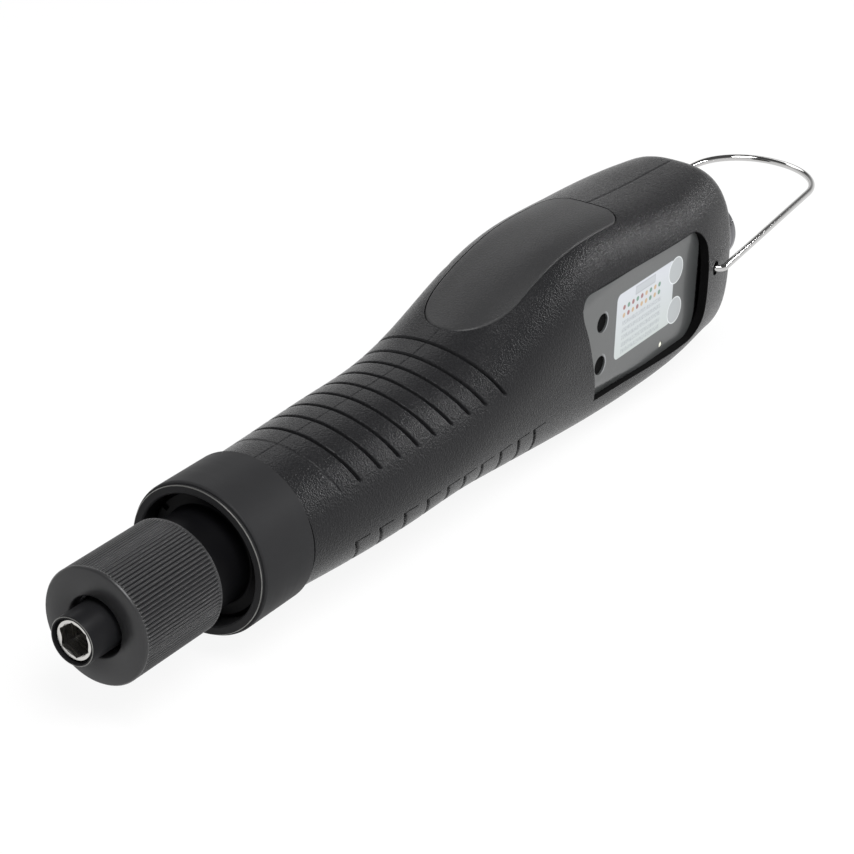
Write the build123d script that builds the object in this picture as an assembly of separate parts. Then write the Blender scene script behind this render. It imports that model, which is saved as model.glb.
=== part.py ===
from build123d import *
from math import acos, cos, pi, radians, sin, sqrt, tan
from collections import namedtuple
import os

# Electric torque screwdriver, push to start, with a planetary drive and a ball clutch.
# Millimetres. The origin is the mouth of the bit socket on the tool's axis, +X runs to the tail,
# +Z to the thumb pad, and the panel with the trimmers faces -Y.

# Clearances
RUNNING = 0.05        # shaft in its hole, radial
SEAT = 0.02           # flat faces of pieces that are bolted or trapped together
SLIDING = 0.1         # sleeve or slider on its guide, radial
FREE = 0.3            # pieces that pass without touching
TRIM = 0.15           # line round a flush insert

# Wire of the springs, bent in straight runs
WIRE_SIDES = 6
RUNS_PER_TURN = 12

# Bit holder and quick-release sleeve
HEX_FLATS = 6.35      # quarter-inch bit
HEX_PLAY = 0.1
HEX_DEPTH = 14.4
HEX_LEAD_IN = 0.2     # chamfer at the middle of each flat
HEX_TURN = 23.0       # degrees, the socket's corners as the spindle rests
HOLDER_R = 4.2
HOLDER_RECESS = 0.66  # holder's face behind the sleeve's rim
SLEEVE_R = 5.2
SLEEVE_LENGTH = 14.5
SLEEVE_TRAVEL = 2.5
SLEEVE_RIM_WALL = 0.55
SLEEVE_CHAMFER = 0.35
RELIEF_DEPTH = 0.5
BALL_R = 0.7
BALL_X = 8.0
SNAP_X = 2.6
SNAP_WIDTH = 0.6
SNAP_GROOVE = 0.25
CHAMBER_X = 10.0
FLANGE_X = 17.2
FLANGE_WIDTH = 1.8
FLANGE_R = 5.4
SLEEVE_WIRE = 0.36
SLEEVE_COILS = 4

# Spindle
NECK_R = 2.5
NECK_SHOULDER = 24.0
START_TRAVEL = 1.2    # push needed to start the motor
START_WIRE = 0.6
START_COILS = 5
DRIVE_FLATS = 4.2

# Torque ring
RING_X = 6.4
RING_LENGTH = 23.3
RING_R = 12.3
RING_BORE = 10.6
RING_MOUTH = 6.3
RING_FACE = 3.0
KNURLS = 92
KNURL_DEPTH = 0.4
KNURL_BAND = 0.8
RING_PITCH = 1.0      # axial travel for one turn
RING_IN = 5.0         # travel towards the collar from rest
RING_OUT = 3.0

# Torque spring and clutch
SPRING_WIRE = 1.7
SPRING_R = 7.7        # mean radius of the coil
SPRING_COILS = 6
WASHER = 1.5
BARREL_X = 15.6
BARREL_WALL = 1.5
WEB_X = 40.4
WEB = 2.2
CLUTCH_BALL_R = 1.5
CLUTCH_BALLS = 3
BALL_CIRCLE = 7.7
BALL_LIFT = 0.4
DIMPLE_R = 1.0        # conical seats of the balls in the cam flange
DIMPLE_FLOOR_R = 0.4
DIMPLE_DEPTH = 0.35
CAM_FLANGE = 2.0
CAM_HOLE = 6.2
CUP_R = 13.6
SHOULDER_CHAMFER = 0.6
BEARING_R = 5.0
BEARING_WIDTH = 4.0
SHIELD_SHARE = 0.3    # of a bearing's wall, each race
SHIELD_RECESS = 0.4
HUB_WALL = 0.9

# Planetary gears, both stages alike
MODULE = 0.4
SUN_TEETH = 24
PLANET_TEETH = 15
PLANETS = 3
PRESSURE = 20.0
ADDENDUM = 0.95
RING_ADDENDUM = 0.8
DEDENDUM = 1.25
BACKLASH = 0.04       # taken off each tooth at the pitch circle
RIM = 1.3
GEAR_WIDTH = 5.2
CARRIER = 2.0
CARRIER_R = 9.9
PIN_R = 1.0
END_PLAY = 0.2

# Motor
ROD_R = 1.0
SHAFT_R = 2.0
MOTOR_R = 12.3
CAN_WALL = 0.7
MOTOR_LENGTH = 46.0
END_PLATE = 1.6
STACK_LENGTH = 26.0
STATOR_TEETH = 6
TOOTH_WIDTH = 3.0
YOKE = 1.8
COIL_WIDTH = 1.5
COIL_OVERHANG = 2.4
COIL_HEIGHT = 2.1
MAGNET_R = 6.0
AIR_GAP = 0.5
MOTOR_BEARING_R = 4.5

# Start switch behind the motor
SWITCH_GAP = 3.0
SWITCH_LENGTH = 12.8
SWITCH_HEIGHT = 6.5
SWITCH_WIDTH = 5.8
PLUNGER_R = 1.3
BRACKET_WALL = 1.0
BRACKET_R = 9.0

# Front collar
COLLAR_X = 36.9
COLLAR_LENGTH = 16.9
COLLAR_R = 16.5
COLLAR_WALL = 2.4
COLLAR_RIM_FILLET = 1.0
COLLAR_MOUTH_CHAMFER = 0.3
THREAD_LENGTH = 8.0
THREAD_WALL = 1.0

# Housing
SHELL_WALL = 2.2
MOTOR_SEAT = 0.2
TAIL_FILLET = 9.0
BODY_LENGTH = 178.2   # collar to tail
SECTION_STEPS = 8     # spline points over half a section
INNER_STEPS = 12      # flats of an inner face, for half a section
CAVITY_X = 111.0      # start of the room behind the motor
GROOVES = 10
GROOVE_X = 63.3       # first groove on the top line
GROOVE_PITCH = 6.0
GROOVE_WIDTH = 0.8
GROOVE_DEPTH = 0.7
GROOVE_LEAN = 26.0    # degrees, backwards as the groove goes down the side
GROOVE_END_Z = 7.4
GROOVE_TOP_Z = 15.0
BELLY_LEAN = 30.0
BELLY_X = 67.3        # first step of the underside, at its upper end
BELLY_PITCH = 7.35
BELLY_END_Z = -4.2

# Thumb pad
PAD_FRONT = 122.0
PAD_NOSE = 16.0       # length of the half ellipse at the front
PAD_REAR = 183.4
PAD_HALF_WIDTH = 10.1
PAD_CORNER = 6.0
PAD_THICKNESS = 1.6

# Side panel
PANEL_Y = -17.6       # face of the label
LABEL = 0.5
PANEL_WALL = 1.6
PANEL_FRONT_TOP = 149.4
PANEL_FRONT_BOTTOM = 160.4
PANEL_REAR = 207.4
PANEL_TOP = 18.6
PANEL_BOTTOM = -9.2
PANEL_FRONT_CORNER = 4.5
PANEL_REAR_CORNER = 6.0
PANEL_TOE_CORNER = 1.2
TRIMMER_X = 162.2
TRIMMER_Z = (9.6, -1.0)
TRIMMER_HOLE = 2.3
TRIMMER_R = 2.0
TRIMMER_BODY_R = 3.3
TRIMMER_BODY = 2.4
TRIMMER_SLOT = 0.5
TRIMMER_RECESS = 1.2
LAMP_X = 191.4
LAMP_Z = -6.8
LAMP_R = 0.8
LAMP_BASE_R = 1.6
LAMP_BASE = 1.6

# Control board
BOARD_Y = -10.6
BOARD = 1.6
BOARD_FRONT = 134.0
BOARD_REAR = 204.0
BOARD_TOP = 14.0
BOARD_BOTTOM = -11.0
BOARD_POST_R = 2.2
POST_INSET = (4.5, 4.0)   # from the board's front and rear ends, and from its edges
BOARD_SCREW_R = 0.9
BOARD_SCREW_HEAD_R = 1.9
BOARD_SCREW_HEAD = 1.2
BOARD_SCREW_REACH = 4.0
TRANSISTOR = (6.5, 2.3, 6.1)
TRANSISTOR_COLUMNS = 3
TRANSISTOR_ROWS = (-8.0, 2.0)
TRANSISTOR_START = 12.0   # from the board's front end
TRANSISTOR_GAP = 2.0
CAPACITOR_R = 4.0
CAPACITOR_LENGTH = 12.0
CAPACITOR_RISE = 2.0      # above the board's lower edge

# Direction switch on the far side
DIRECTION_X = 190.0
DIRECTION_Z = 4.0
DIRECTION_TRAVEL = 2.0
KNOB = (6.0, 5.0)     # along X and Z
KNOB_RISE = 3.1
KNOB_STEM = 2.4
KNOB_WELL = (14.0, 9.0)
KNOB_WELL_Y = 17.2
KNOB_WELL_WALL = 1.8
KNOB_CHAMFER = 0.6
DIRECTION_CASE = (15.0, 5.0, 8.0)

# Shell screws
SCREW_R = 1.3
SCREW_HEAD_R = 2.5
SCREW_HEAD = 1.8
SCREW_BOSS_WALL = 1.5
SCREW_SEAT_Y = 6.0
SCREW_REACH = 8.0
SCREW_PLACES = ((119.0, -9.5), (146.5, 19.0), (146.5, -14.5), (214.5, 16.0), (210.0, -13.2))

# Power socket
SOCKET_R = 8.0
SOCKET_BORE = 6.7
SOCKET_REACH = 14.6
SOCKET_NECK_R = 6.0
SOCKET_FLANGE_R = 8.8
SOCKET_FLANGE = 2.0
SOCKET_BOSS_R = 9.6
SOCKET_CHAMFER = 0.3
SOCKET_PINS = 5
SOCKET_PIN_R = 0.6
SOCKET_PIN_CIRCLE = 3.4
SOCKET_PIN_RISE = 3.6
SOCKET_CORE_R = 4.6
SOCKET_DISC = 2.0
NUT_FLATS = 15.0
NUT = 2.4
TAIL_WALL = 3.0

# Bail
BAIL_X = 212.2
BAIL_Z = 6.4
BAIL_WIRE_R = 0.85
BAIL_SIDES = 12
BAIL_REACH = 73.2
BAIL_END_HALF_WIDTH = 14.8
BAIL_ARC_R = 14.4
BAIL_HALF_WIDTH = 21.8
BAIL_PIN = 5.1
BAIL_BEND = 2.2
BAIL_NOTCH_R = 1.8
BAIL_NOTCH_Y = 18.8

# The body's form, as sections along X: half width, top, bottom and squareness
Section = namedtuple("Section", "x half_width top bottom square")
BODY = (
    Section(53.9, 16.3, 14.8, -15.0, 2.0),
    Section(72.0, 17.5, 14.9, -16.2, 2.0),
    Section(92.0, 18.4, 15.2, -16.9, 2.0),
    Section(111.0, 18.8, 16.0, -17.1, 2.0),
    Section(125.0, 18.7, 19.2, -18.1, 2.2),
    Section(140.0, 18.9, 24.6, -19.4, 2.4),
    Section(156.0, 19.1, 28.3, -20.5, 2.6),
    Section(171.0, 19.5, 28.5, -20.9, 2.75),
    Section(186.0, 20.6, 27.4, -20.4, 2.75),
    Section(201.0, 21.2, 26.4, -19.2, 2.75),
    Section(216.0, 19.5, 25.9, -18.5, 2.75),
)
TAIL_HALF_WIDTH = 15.6
TAIL_TOP = 25.2
TAIL_BOTTOM = -21.0

# Cutting tools
PAST = 1.0            # how far one runs past a face
FAR = 60.0            # one that spans the whole body

FROM_END = (Align.CENTER, Align.CENTER, Align.MIN)


# Shared forms
def rod(x0, x1, radius):
    return Pos(x0, 0, 0) * Rot(0, 90, 0) * Cylinder(radius, x1 - x0, align=FROM_END)


def tube(x0, x1, outer, inner):
    return rod(x0, x1, outer) - rod(x0 - PAST, x1 + PAST, inner)


def turned(*outline):
    # outline: (x, radius) corners of a section turned about the tool's axis
    return revolve(make_face(Polyline(*[(x, 0, r) for x, r in outline], close=True)), Axis.X, 360)


def prism(outline, x0, x1):
    # outline: (y, z) corners
    face = make_face(Polyline(*[(x0, y, z) for y, z in outline], close=True))
    return extrude(face, amount=x1 - x0, dir=(1, 0, 0))


def block(x, y, z):
    # each of x, y and z is a pair of limits
    size = [high - low for low, high in (x, y, z)]
    middle = [(high + low) / 2 for low, high in (x, y, z)]
    return Pos(*middle) * Box(*size)


def cross_rod(x, z, y0, y1, radius):
    return Pos(x, y0, z) * Rot(-90, 0, 0) * Cylinder(radius, y1 - y0, align=FROM_END)


def polar(radius, angle):
    return radius * cos(angle), radius * sin(angle)


def hexagon(flats, turn=0.0):
    corner = flats / 2 / cos(pi / 6)
    return [polar(corner, radians(turn) + i * pi / 3) for i in range(6)]


def wire_along(path, radius, sides):
    start = Plane(origin=path @ 0, z_dir=path % 0)
    return sweep(start * RegularPolygon(radius, sides), path=path, transition=Transition.RIGHT)


def around(count, shape, start=0.0):
    return [Rot(start + 360 * i / count, 0, 0) * shape for i in range(count)]


def coil(x0, x1, radius, wire, turns):
    # a compression spring between x0 and x1, with radius as the mean of its corners and its flats
    turn = 2 * pi / RUNS_PER_TURN
    corner = 2 * radius / (1 + cos(turn / 2))
    runs = turns * RUNS_PER_TURN
    step = (x1 - x0 - wire) / runs
    corners = [(x0 + wire / 2 + i * step, *polar(corner, i * turn)) for i in range(runs + 1)]
    return wire_along(Polyline(*corners), wire / 2, WIRE_SIDES)


def bearing(x0, x1, outer, inner):
    # outer race, inner race and the shield between them
    race = SHIELD_SHARE * (outer - inner)
    recess = outer - race, inner + race
    rings = tube(x0, x1, outer, inner) - tube(x0 - PAST, x0 + SHIELD_RECESS, *recess)
    return rings - tube(x1 - SHIELD_RECESS, x1 + PAST, *recess)


# Bit holder, its balls and the sleeve
snap_rear = SNAP_X + SNAP_WIDTH
sleeve_bore = HOLDER_R + SLIDING
chamber_r = sleeve_bore + RELIEF_DEPTH
bearing_x = WEB_X + WEB - SLIDING - BEARING_WIDTH
cam_x = WEB_X + WEB + END_PLAY
gears_x = cam_x + CAM_FLANGE
output_plate_x = gears_x + END_PLAY
output_gears_x = output_plate_x + CARRIER + END_PLAY
input_plate_x = output_gears_x + GEAR_WIDTH + 2 * END_PLAY
input_gears_x = input_plate_x + CARRIER + END_PLAY
cup_end = input_gears_x + GEAR_WIDTH + 2 * END_PLAY
neck_end = cam_x - START_TRAVEL - FREE
drive_end = output_plate_x + CARRIER - START_TRAVEL - FREE


def bit_holder():
    body = turned(
        (HOLDER_RECESS, 0), (HOLDER_RECESS, HOLDER_R), (FLANGE_X, HOLDER_R), (FLANGE_X, FLANGE_R),
        (FLANGE_X + FLANGE_WIDTH, FLANGE_R), (FLANGE_X + FLANGE_WIDTH, HOLDER_R), (NECK_SHOULDER, HOLDER_R),
        (NECK_SHOULDER, NECK_R), (neck_end, NECK_R), (neck_end, 0),
    )
    body += prism(hexagon(DRIVE_FLATS), neck_end - PAST, drive_end)
    mouth = HOLDER_RECESS - PAST
    flats = HEX_FLATS + HEX_PLAY
    body -= prism(hexagon(flats, HEX_TURN), mouth, HOLDER_RECESS + HEX_DEPTH)
    lead_in = flats / 2 + HEX_LEAD_IN
    body -= turned((mouth, 0), (mouth, lead_in + PAST), (HOLDER_RECESS + lead_in, 0))
    body -= tube(SNAP_X - SEAT, snap_rear + SEAT, HOLDER_R + PAST, HOLDER_R - SNAP_GROOVE)
    for turn in (HEX_TURN, HEX_TURN + 180):
        hole = Cylinder(BALL_R + RUNNING, HOLDER_R + PAST, align=FROM_END)
        body -= Rot(turn, 0, 0) * Pos(BALL_X, 0, 0) * Rot(-90, 0, 0) * hole
    return body


def bit_detent_balls():
    ball = Pos(BALL_X, sleeve_bore - RUNNING - BALL_R, 0) * Sphere(BALL_R)
    return around(2, ball, HEX_TURN)


def sleeve_snap_ring():
    ring = tube(SNAP_X, snap_rear, SLEEVE_R - SLEEVE_RIM_WALL - RUNNING, HOLDER_R - SNAP_GROOVE + RUNNING)
    return ring - block((0, 2 * SNAP_X), (-SNAP_WIDTH, SNAP_WIDTH), (0, SLEEVE_R))


def quick_release_sleeve():
    rim = SLEEVE_R - SLEEVE_RIM_WALL
    relief = (BALL_X - SLEEVE_TRAVEL - BALL_R - SLIDING, BALL_X - SLEEVE_TRAVEL + BALL_R + SLIDING)
    step = snap_rear + SEAT
    return turned(
        (0, rim), (0, SLEEVE_R - SLEEVE_CHAMFER), (SLEEVE_CHAMFER, SLEEVE_R), (SLEEVE_LENGTH, SLEEVE_R),
        (SLEEVE_LENGTH, chamber_r), (CHAMBER_X, chamber_r), (CHAMBER_X, sleeve_bore),
        (relief[1], sleeve_bore), (relief[1], chamber_r), (relief[0], chamber_r), (relief[0], sleeve_bore),
        (step, sleeve_bore), (step, rim),
    )


def sleeve_spring():
    middle = (HOLDER_R + chamber_r) / 2
    return coil(CHAMBER_X + SEAT, FLANGE_X - SEAT, middle, SLEEVE_WIRE, SLEEVE_COILS)


def start_return_spring():
    middle = NECK_R + SLIDING + START_WIRE
    return coil(NECK_SHOULDER + SEAT, bearing_x - SEAT, middle, START_WIRE, START_COILS)


# Torque ring, its spring and the ball clutch
ring_rear = RING_X + RING_LENGTH
barrel_r = RING_BORE - SLIDING
barrel_bore = barrel_r - BARREL_WALL
washer_x = RING_X + RING_FACE + SEAT
ball_x = WEB_X + WEB / 2
pressure_x = ball_x - CLUTCH_BALL_R - SEAT - WASHER
hub_r = BEARING_R + HUB_WALL


def torque_ring():
    edge = KNURL_DEPTH
    ring = turned(
        (RING_X, RING_MOUTH), (RING_X, RING_R - edge), (RING_X + edge, RING_R), (ring_rear - edge, RING_R),
        (ring_rear, RING_R - edge), (ring_rear, RING_BORE), (RING_X + RING_FACE, RING_BORE),
        (RING_X + RING_FACE, RING_MOUTH),
    )
    step = pi / KNURLS
    ridges = [polar(RING_R if i % 2 else RING_R - KNURL_DEPTH, i * step) for i in range(2 * KNURLS)]
    front, rear = RING_X + KNURL_BAND, ring_rear - KNURL_BAND
    return ring - (rod(front, rear, RING_R + PAST) - prism(ridges, front - PAST, rear + PAST))


def torque_spring_washer():
    return tube(washer_x, washer_x + WASHER, barrel_bore - SLIDING, RING_MOUTH)


def torque_spring():
    return coil(washer_x + WASHER + SEAT, pressure_x - SEAT, SPRING_R, SPRING_WIRE, SPRING_COILS)


def clutch_pressure_washer():
    return tube(pressure_x, pressure_x + WASHER, barrel_bore - SLIDING, hub_r + SLIDING)


def clutch_balls():
    return around(CLUTCH_BALLS, Pos(ball_x, BALL_CIRCLE, 0) * Sphere(CLUTCH_BALL_R))


def clutch_barrel():
    bore = BEARING_R + SEAT
    floor = WEB_X + WEB
    barrel = turned(
        (BARREL_X, barrel_bore), (BARREL_X, barrel_r), (WEB_X, barrel_r), (WEB_X, CUP_R - SHOULDER_CHAMFER),
        (WEB_X + SHOULDER_CHAMFER, CUP_R), (cup_end, CUP_R), (cup_end, gear_case_r), (floor, gear_case_r),
        (floor, bore), (bearing_x - SEAT, bore), (bearing_x - SEAT, hub_r), (WEB_X, hub_r),
        (WEB_X, barrel_bore),
    )
    hole = Pos(0, BALL_CIRCLE, 0) * rod(WEB_X - PAST, floor + PAST, CLUTCH_BALL_R + RUNNING)
    for way in around(CLUTCH_BALLS, hole):
        barrel -= way
    return barrel


def spindle_bearing():
    return bearing(bearing_x, bearing_x + BEARING_WIDTH, BEARING_R, NECK_R + RUNNING)


# Planetary gears
sun_r = MODULE * SUN_TEETH / 2
planet_r = MODULE * PLANET_TEETH / 2
planet_circle = sun_r + planet_r
ring_teeth = SUN_TEETH + 2 * PLANET_TEETH
ring_r = MODULE * ring_teeth / 2
ring_root = ring_r + DEDENDUM * MODULE
gear_case_r = ring_root + RIM


def tooth_half_angle(pitch_r, teeth, radius):
    # half the angle of an involute tooth at a radius
    base_r = pitch_r * cos(radians(PRESSURE))
    reached = acos(min(1.0, base_r / max(radius, base_r)))
    involute = tan(radians(PRESSURE)) - radians(PRESSURE) - (tan(reached) - reached)
    return pi / (2 * teeth) - BACKLASH / (2 * pitch_r) + involute


def toothed(teeth, root, tip, phase):
    # outline of a gear with the middle of one tooth at the angle phase
    pitch_r = MODULE * teeth / 2
    wide, narrow = (tooth_half_angle(pitch_r, teeth, r) for r in (root, tip))
    corners = []
    for i in range(teeth):
        middle = phase + 2 * pi * i / teeth
        corners += [polar(root, middle - wide), polar(tip, middle - narrow)]
        corners += [polar(tip, middle + narrow), polar(root, middle + wide)]
    return corners


def ring_gear_outline(phase):
    # outline of the hole of an inward gear, with the middle of one gap at the angle phase
    tip = ring_r - RING_ADDENDUM * MODULE
    corners = []
    for i in range(ring_teeth):
        middle = phase + 2 * pi * i / ring_teeth
        widen = BACKLASH / ring_r
        wide = tooth_half_angle(ring_r, ring_teeth, tip) + widen
        narrow = tooth_half_angle(ring_r, ring_teeth, ring_root) + widen
        corners += [polar(tip, middle - wide), polar(ring_root, middle - narrow)]
        corners += [polar(ring_root, middle + narrow), polar(tip, middle + wide)]
    return corners


def planet_phase(place):
    # turn of a planet at the angle place that meshes with a sun tooth at angle 0
    tooth = 2 * pi / SUN_TEETH
    ahead = round(place / tooth) * tooth - place
    return place + pi - ahead * sun_r / planet_r + pi / PLANET_TEETH


def ring_phase():
    # turn of the ring gear that meshes with the planet at angle 0
    tooth = 2 * pi / PLANET_TEETH
    turn = planet_phase(0.0)
    return (turn - round(turn / tooth) * tooth) * planet_r / ring_r


def sun(x0, x1):
    root = sun_r - DEDENDUM * MODULE
    return prism(toothed(SUN_TEETH, root, sun_r + ADDENDUM * MODULE, 0.0), x0, x1)


def planet(x0, index):
    place = 2 * pi * index / PLANETS
    root = planet_r - DEDENDUM * MODULE
    outline = toothed(PLANET_TEETH, root, planet_r + ADDENDUM * MODULE, planet_phase(place))
    y, z = polar(planet_circle, place)
    bore = rod(x0 - PAST, x0 + GEAR_WIDTH + PAST, PIN_R + RUNNING)
    return Pos(0, y, z) * (prism(outline, x0, x0 + GEAR_WIDTH) - bore)


def ring_gear(x0, x1):
    teeth = prism(ring_gear_outline(ring_phase()), x0 - PAST, x1 + PAST)
    return rod(x0, x1, gear_case_r - RUNNING) - teeth


def clutch_ring_gear():
    # the balls rest in its front flange, the output stage runs inside it
    end = input_plate_x - END_PLAY
    gear = tube(cam_x, end, gear_case_r - RUNNING, CAM_HOLE)
    dimple = turned((cam_x - SEAT, 0), (cam_x - SEAT, DIMPLE_R), (cam_x + DIMPLE_DEPTH, DIMPLE_FLOOR_R),
                    (cam_x + DIMPLE_DEPTH, 0))
    for seat in around(CLUTCH_BALLS, Pos(0, BALL_CIRCLE, 0) * dimple):
        gear -= seat
    return gear - prism(ring_gear_outline(ring_phase()), gears_x, end + PAST)


def input_ring_gear():
    return ring_gear(input_plate_x, cup_end - END_PLAY)


def pin_holes(x0, x1, radius):
    return around(PLANETS, Pos(0, planet_circle, 0) * rod(x0, x1, radius))


def carrier(plate_x):
    plate = rod(plate_x, plate_x + CARRIER, CARRIER_R)
    for hole in pin_holes(plate_x - PAST, plate_x + CARRIER + PAST, PIN_R + SEAT):
        plate -= hole
    return plate


def output_carrier():
    boss = rod(cam_x, output_plate_x + CARRIER, CAM_HOLE - 2 * SLIDING)
    socket = prism(hexagon(DRIVE_FLATS + 2 * RUNNING), cam_x - PAST, output_plate_x + CARRIER + PAST)
    return carrier(output_plate_x) + boss - socket


def input_carrier():
    body = carrier(input_plate_x) + sun(output_gears_x, input_plate_x + CARRIER / 2)
    return body - rod(output_gears_x - PAST, input_plate_x + CARRIER + PAST, ROD_R + END_PLAY)


def planet_pins(plate_x):
    return pin_holes(plate_x + END_PLAY, plate_x + CARRIER + GEAR_WIDTH + 2 * END_PLAY, PIN_R)


# Motor, with a hollow shaft for the push rod
motor_x = cup_end + END_PLAY
can_x = motor_x + END_PLATE
can_end = motor_x + MOTOR_LENGTH - END_PLATE
motor_end = motor_x + MOTOR_LENGTH
can_bore = MOTOR_R - CAN_WALL
stack_x = (can_x + can_end - STACK_LENGTH) / 2
stack_end = stack_x + STACK_LENGTH
rotor_gap_r = MAGNET_R + AIR_GAP
shaft_bore = ROD_R + END_PLAY
bearing_boss_r = MOTOR_BEARING_R + HUB_WALL


def motor_pinion():
    return sun(input_gears_x, input_gears_x + GEAR_WIDTH) - rod(input_plate_x, cup_end, SHAFT_R + SEAT)


def rotor_shaft():
    return tube(input_gears_x, motor_end - END_PLAY, SHAFT_R, shaft_bore)


def rotor_magnet():
    return tube(stack_x, stack_end, MAGNET_R, SHAFT_R)


def motor_can():
    return tube(can_x, can_end, MOTOR_R, can_bore)


def motor_plate(plate_x, boss_x, seat_x):
    # an end plate with the bearing's boss on its inner side
    plate = rod(plate_x, plate_x + END_PLATE, MOTOR_R) + rod(*sorted((plate_x, boss_x)), bearing_boss_r)
    plate -= rod(plate_x - PAST, plate_x + END_PLATE + PAST, SHAFT_R + FREE)
    return plate - rod(*sorted((seat_x, boss_x)), MOTOR_BEARING_R + SEAT)


def motor_front_plate():
    plate = motor_plate(motor_x, can_x + BEARING_WIDTH, can_x)
    return plate - rod(can_x, can_x + BEARING_WIDTH + PAST, MOTOR_BEARING_R + SEAT)


def motor_rear_plate():
    plate = motor_plate(can_end, can_end - BEARING_WIDTH, can_end)
    return plate - rod(can_end - BEARING_WIDTH - PAST, can_end, MOTOR_BEARING_R + SEAT)


def motor_bearings():
    starts = (can_x + SEAT, can_end - BEARING_WIDTH - SEAT)
    return [bearing(x, x + BEARING_WIDTH, MOTOR_BEARING_R, SHAFT_R + RUNNING) for x in starts]


def stator_core():
    core = tube(stack_x, stack_end, can_bore - SEAT, can_bore - YOKE)
    half = TOOTH_WIDTH / 2
    tooth = block((stack_x, stack_end), (-half, half), (0, can_bore - YOKE / 2))
    for arm in around(STATOR_TEETH, tooth):
        core += arm
    return core - rod(stack_x - PAST, stack_end + PAST, rotor_gap_r)


def stator_coils():
    inside = rotor_gap_r + AIR_GAP
    half = TOOTH_WIDTH / 2 + SEAT
    ends = (stack_x - COIL_OVERHANG, stack_end + COIL_OVERHANG)
    heights = (inside, inside + COIL_HEIGHT)
    winding = block(ends, (-half - COIL_WIDTH, half + COIL_WIDTH), heights)
    core = block((stack_x - SEAT, stack_end + SEAT), (-half, half), (0, MOTOR_R))
    return around(STATOR_TEETH, winding - core)


# Start switch, pressed through the motor by the push rod
rod_end = motor_end + SWITCH_GAP
plunger_x = rod_end + SEAT
case_x = plunger_x + START_TRAVEL + END_PLAY
plunger_end = case_x + START_TRAVEL


def push_rod():
    return rod(drive_end + SEAT, rod_end, ROD_R)


def start_switch_plunger():
    return rod(plunger_x, plunger_end, PLUNGER_R)


def start_switch():
    half_width, half_height = SWITCH_WIDTH / 2, SWITCH_HEIGHT / 2
    case = block((case_x, case_x + SWITCH_LENGTH), (-half_width, half_width), (-half_height, half_height))
    return case - rod(case_x - PAST, plunger_end + START_TRAVEL + END_PLAY, PLUNGER_R + SLIDING)


def switch_bracket():
    inner = SWITCH_HEIGHT / 2 + SEAT
    base = motor_end + SEAT
    way = rod(motor_x, rod_end, PLUNGER_R + SLIDING)
    plate = rod(base, base + BRACKET_WALL, BRACKET_R) - way
    arms = block((base, case_x + SWITCH_LENGTH / 2), (-SWITCH_WIDTH / 2, SWITCH_WIDTH / 2),
                 (-inner - BRACKET_WALL, inner + BRACKET_WALL))
    gap = block((base + BRACKET_WALL, case_x + SWITCH_LENGTH), (-SWITCH_WIDTH, SWITCH_WIDTH), (-inner, inner))
    return plate + (arms - gap - way)


# Front collar
collar_end = COLLAR_X + COLLAR_LENGTH
neck_x = collar_end - THREAD_LENGTH + SLIDING
neck_bore = CUP_R + SEAT
neck_r = neck_bore + THREAD_WALL


def front_circles(shape):
    return shape.edges().filter_by(GeomType.CIRCLE).group_by(Axis.X)[0].sort_by(SortBy.RADIUS)


def front_collar():
    mouth = COLLAR_R - COLLAR_WALL
    thread = neck_x - SLIDING
    collar = turned(
        (COLLAR_X, mouth), (COLLAR_X, COLLAR_R), (collar_end, COLLAR_R), (collar_end, neck_r + RUNNING),
        (thread, neck_r + RUNNING), (thread, mouth),
    )
    collar = fillet(front_circles(collar)[-1], COLLAR_RIM_FILLET)
    return chamfer(front_circles(collar)[0], COLLAR_MOUTH_CHAMFER)


# Housing
tail_x = BODY[0].x + BODY_LENGTH
body_x = BODY[0].x
TAIL = Section(tail_x, TAIL_HALF_WIDTH, TAIL_TOP, TAIL_BOTTOM, BODY[-1].square)


def section_at(x):
    # the body's section at x, between the two nearest that are given
    sections = BODY + (TAIL,)
    i = max(i for i in range(len(sections) - 1) if sections[i].x <= x)
    first, second = sections[i], sections[i + 1]
    share = (x - first.x) / (second.x - first.x)
    return Section(*(a + (b - a) * share for a, b in zip(first, second)))


def cavity_sections():
    # the room behind the motor draws in at the rounded tail
    arc = TAIL_FILLET - sqrt(TAIL_FILLET ** 2 - (TAIL_FILLET - TAIL_WALL) ** 2)
    last = tail_x - TAIL_FILLET
    middle = [section for section in BODY if CAVITY_X < section.x < last]
    end = Section(tail_x - TAIL_WALL, TAIL.half_width - arc, TAIL.top - arc, TAIL.bottom + arc, TAIL.square)
    return [section_at(CAVITY_X)] + middle + [section_at(last), end]


def upper_points(section, inset, top_inset, steps):
    # points over the top of a superellipse, from its +Y side to its -Y side, with its middle height
    half_width = section.half_width - inset
    top, bottom = section.top - top_inset, section.bottom + inset
    middle, half_height = (top + bottom) / 2, (top - bottom) / 2
    power = 2 / section.square
    points = []
    for i in range(steps + 1):
        across, up = cos(pi * i / steps), sin(pi * i / steps)
        side = 1 if across > 0 else -1
        y = side * half_width * abs(across) ** power
        points.append((section.x, y, middle + half_height * up ** power))
    return points, middle


def lower_points(upper, middle):
    return [(x, y, 2 * middle - z) for x, y, z in reversed(upper)]


def section_wire(section):
    # a section in two splines that meet at its sides
    upper, middle = upper_points(section, 0, 0, SECTION_STEPS)
    top_edge = Spline(*upper, tangents=((0, 0, 1), (0, 0, -1)))
    bottom_edge = Spline(*lower_points(upper, middle), tangents=((0, 0, -1), (0, 0, 1)))
    return Wire([top_edge.edge(), bottom_edge.edge()])


def body_form():
    # the body's outside, with its rear edge rounded
    solid = Solid.make_loft([section_wire(section) for section in BODY + (TAIL,)])
    return Part(solid.fillet(TAIL_FILLET, solid.edges().group_by(Axis.X)[-1]).wrapped)


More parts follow.
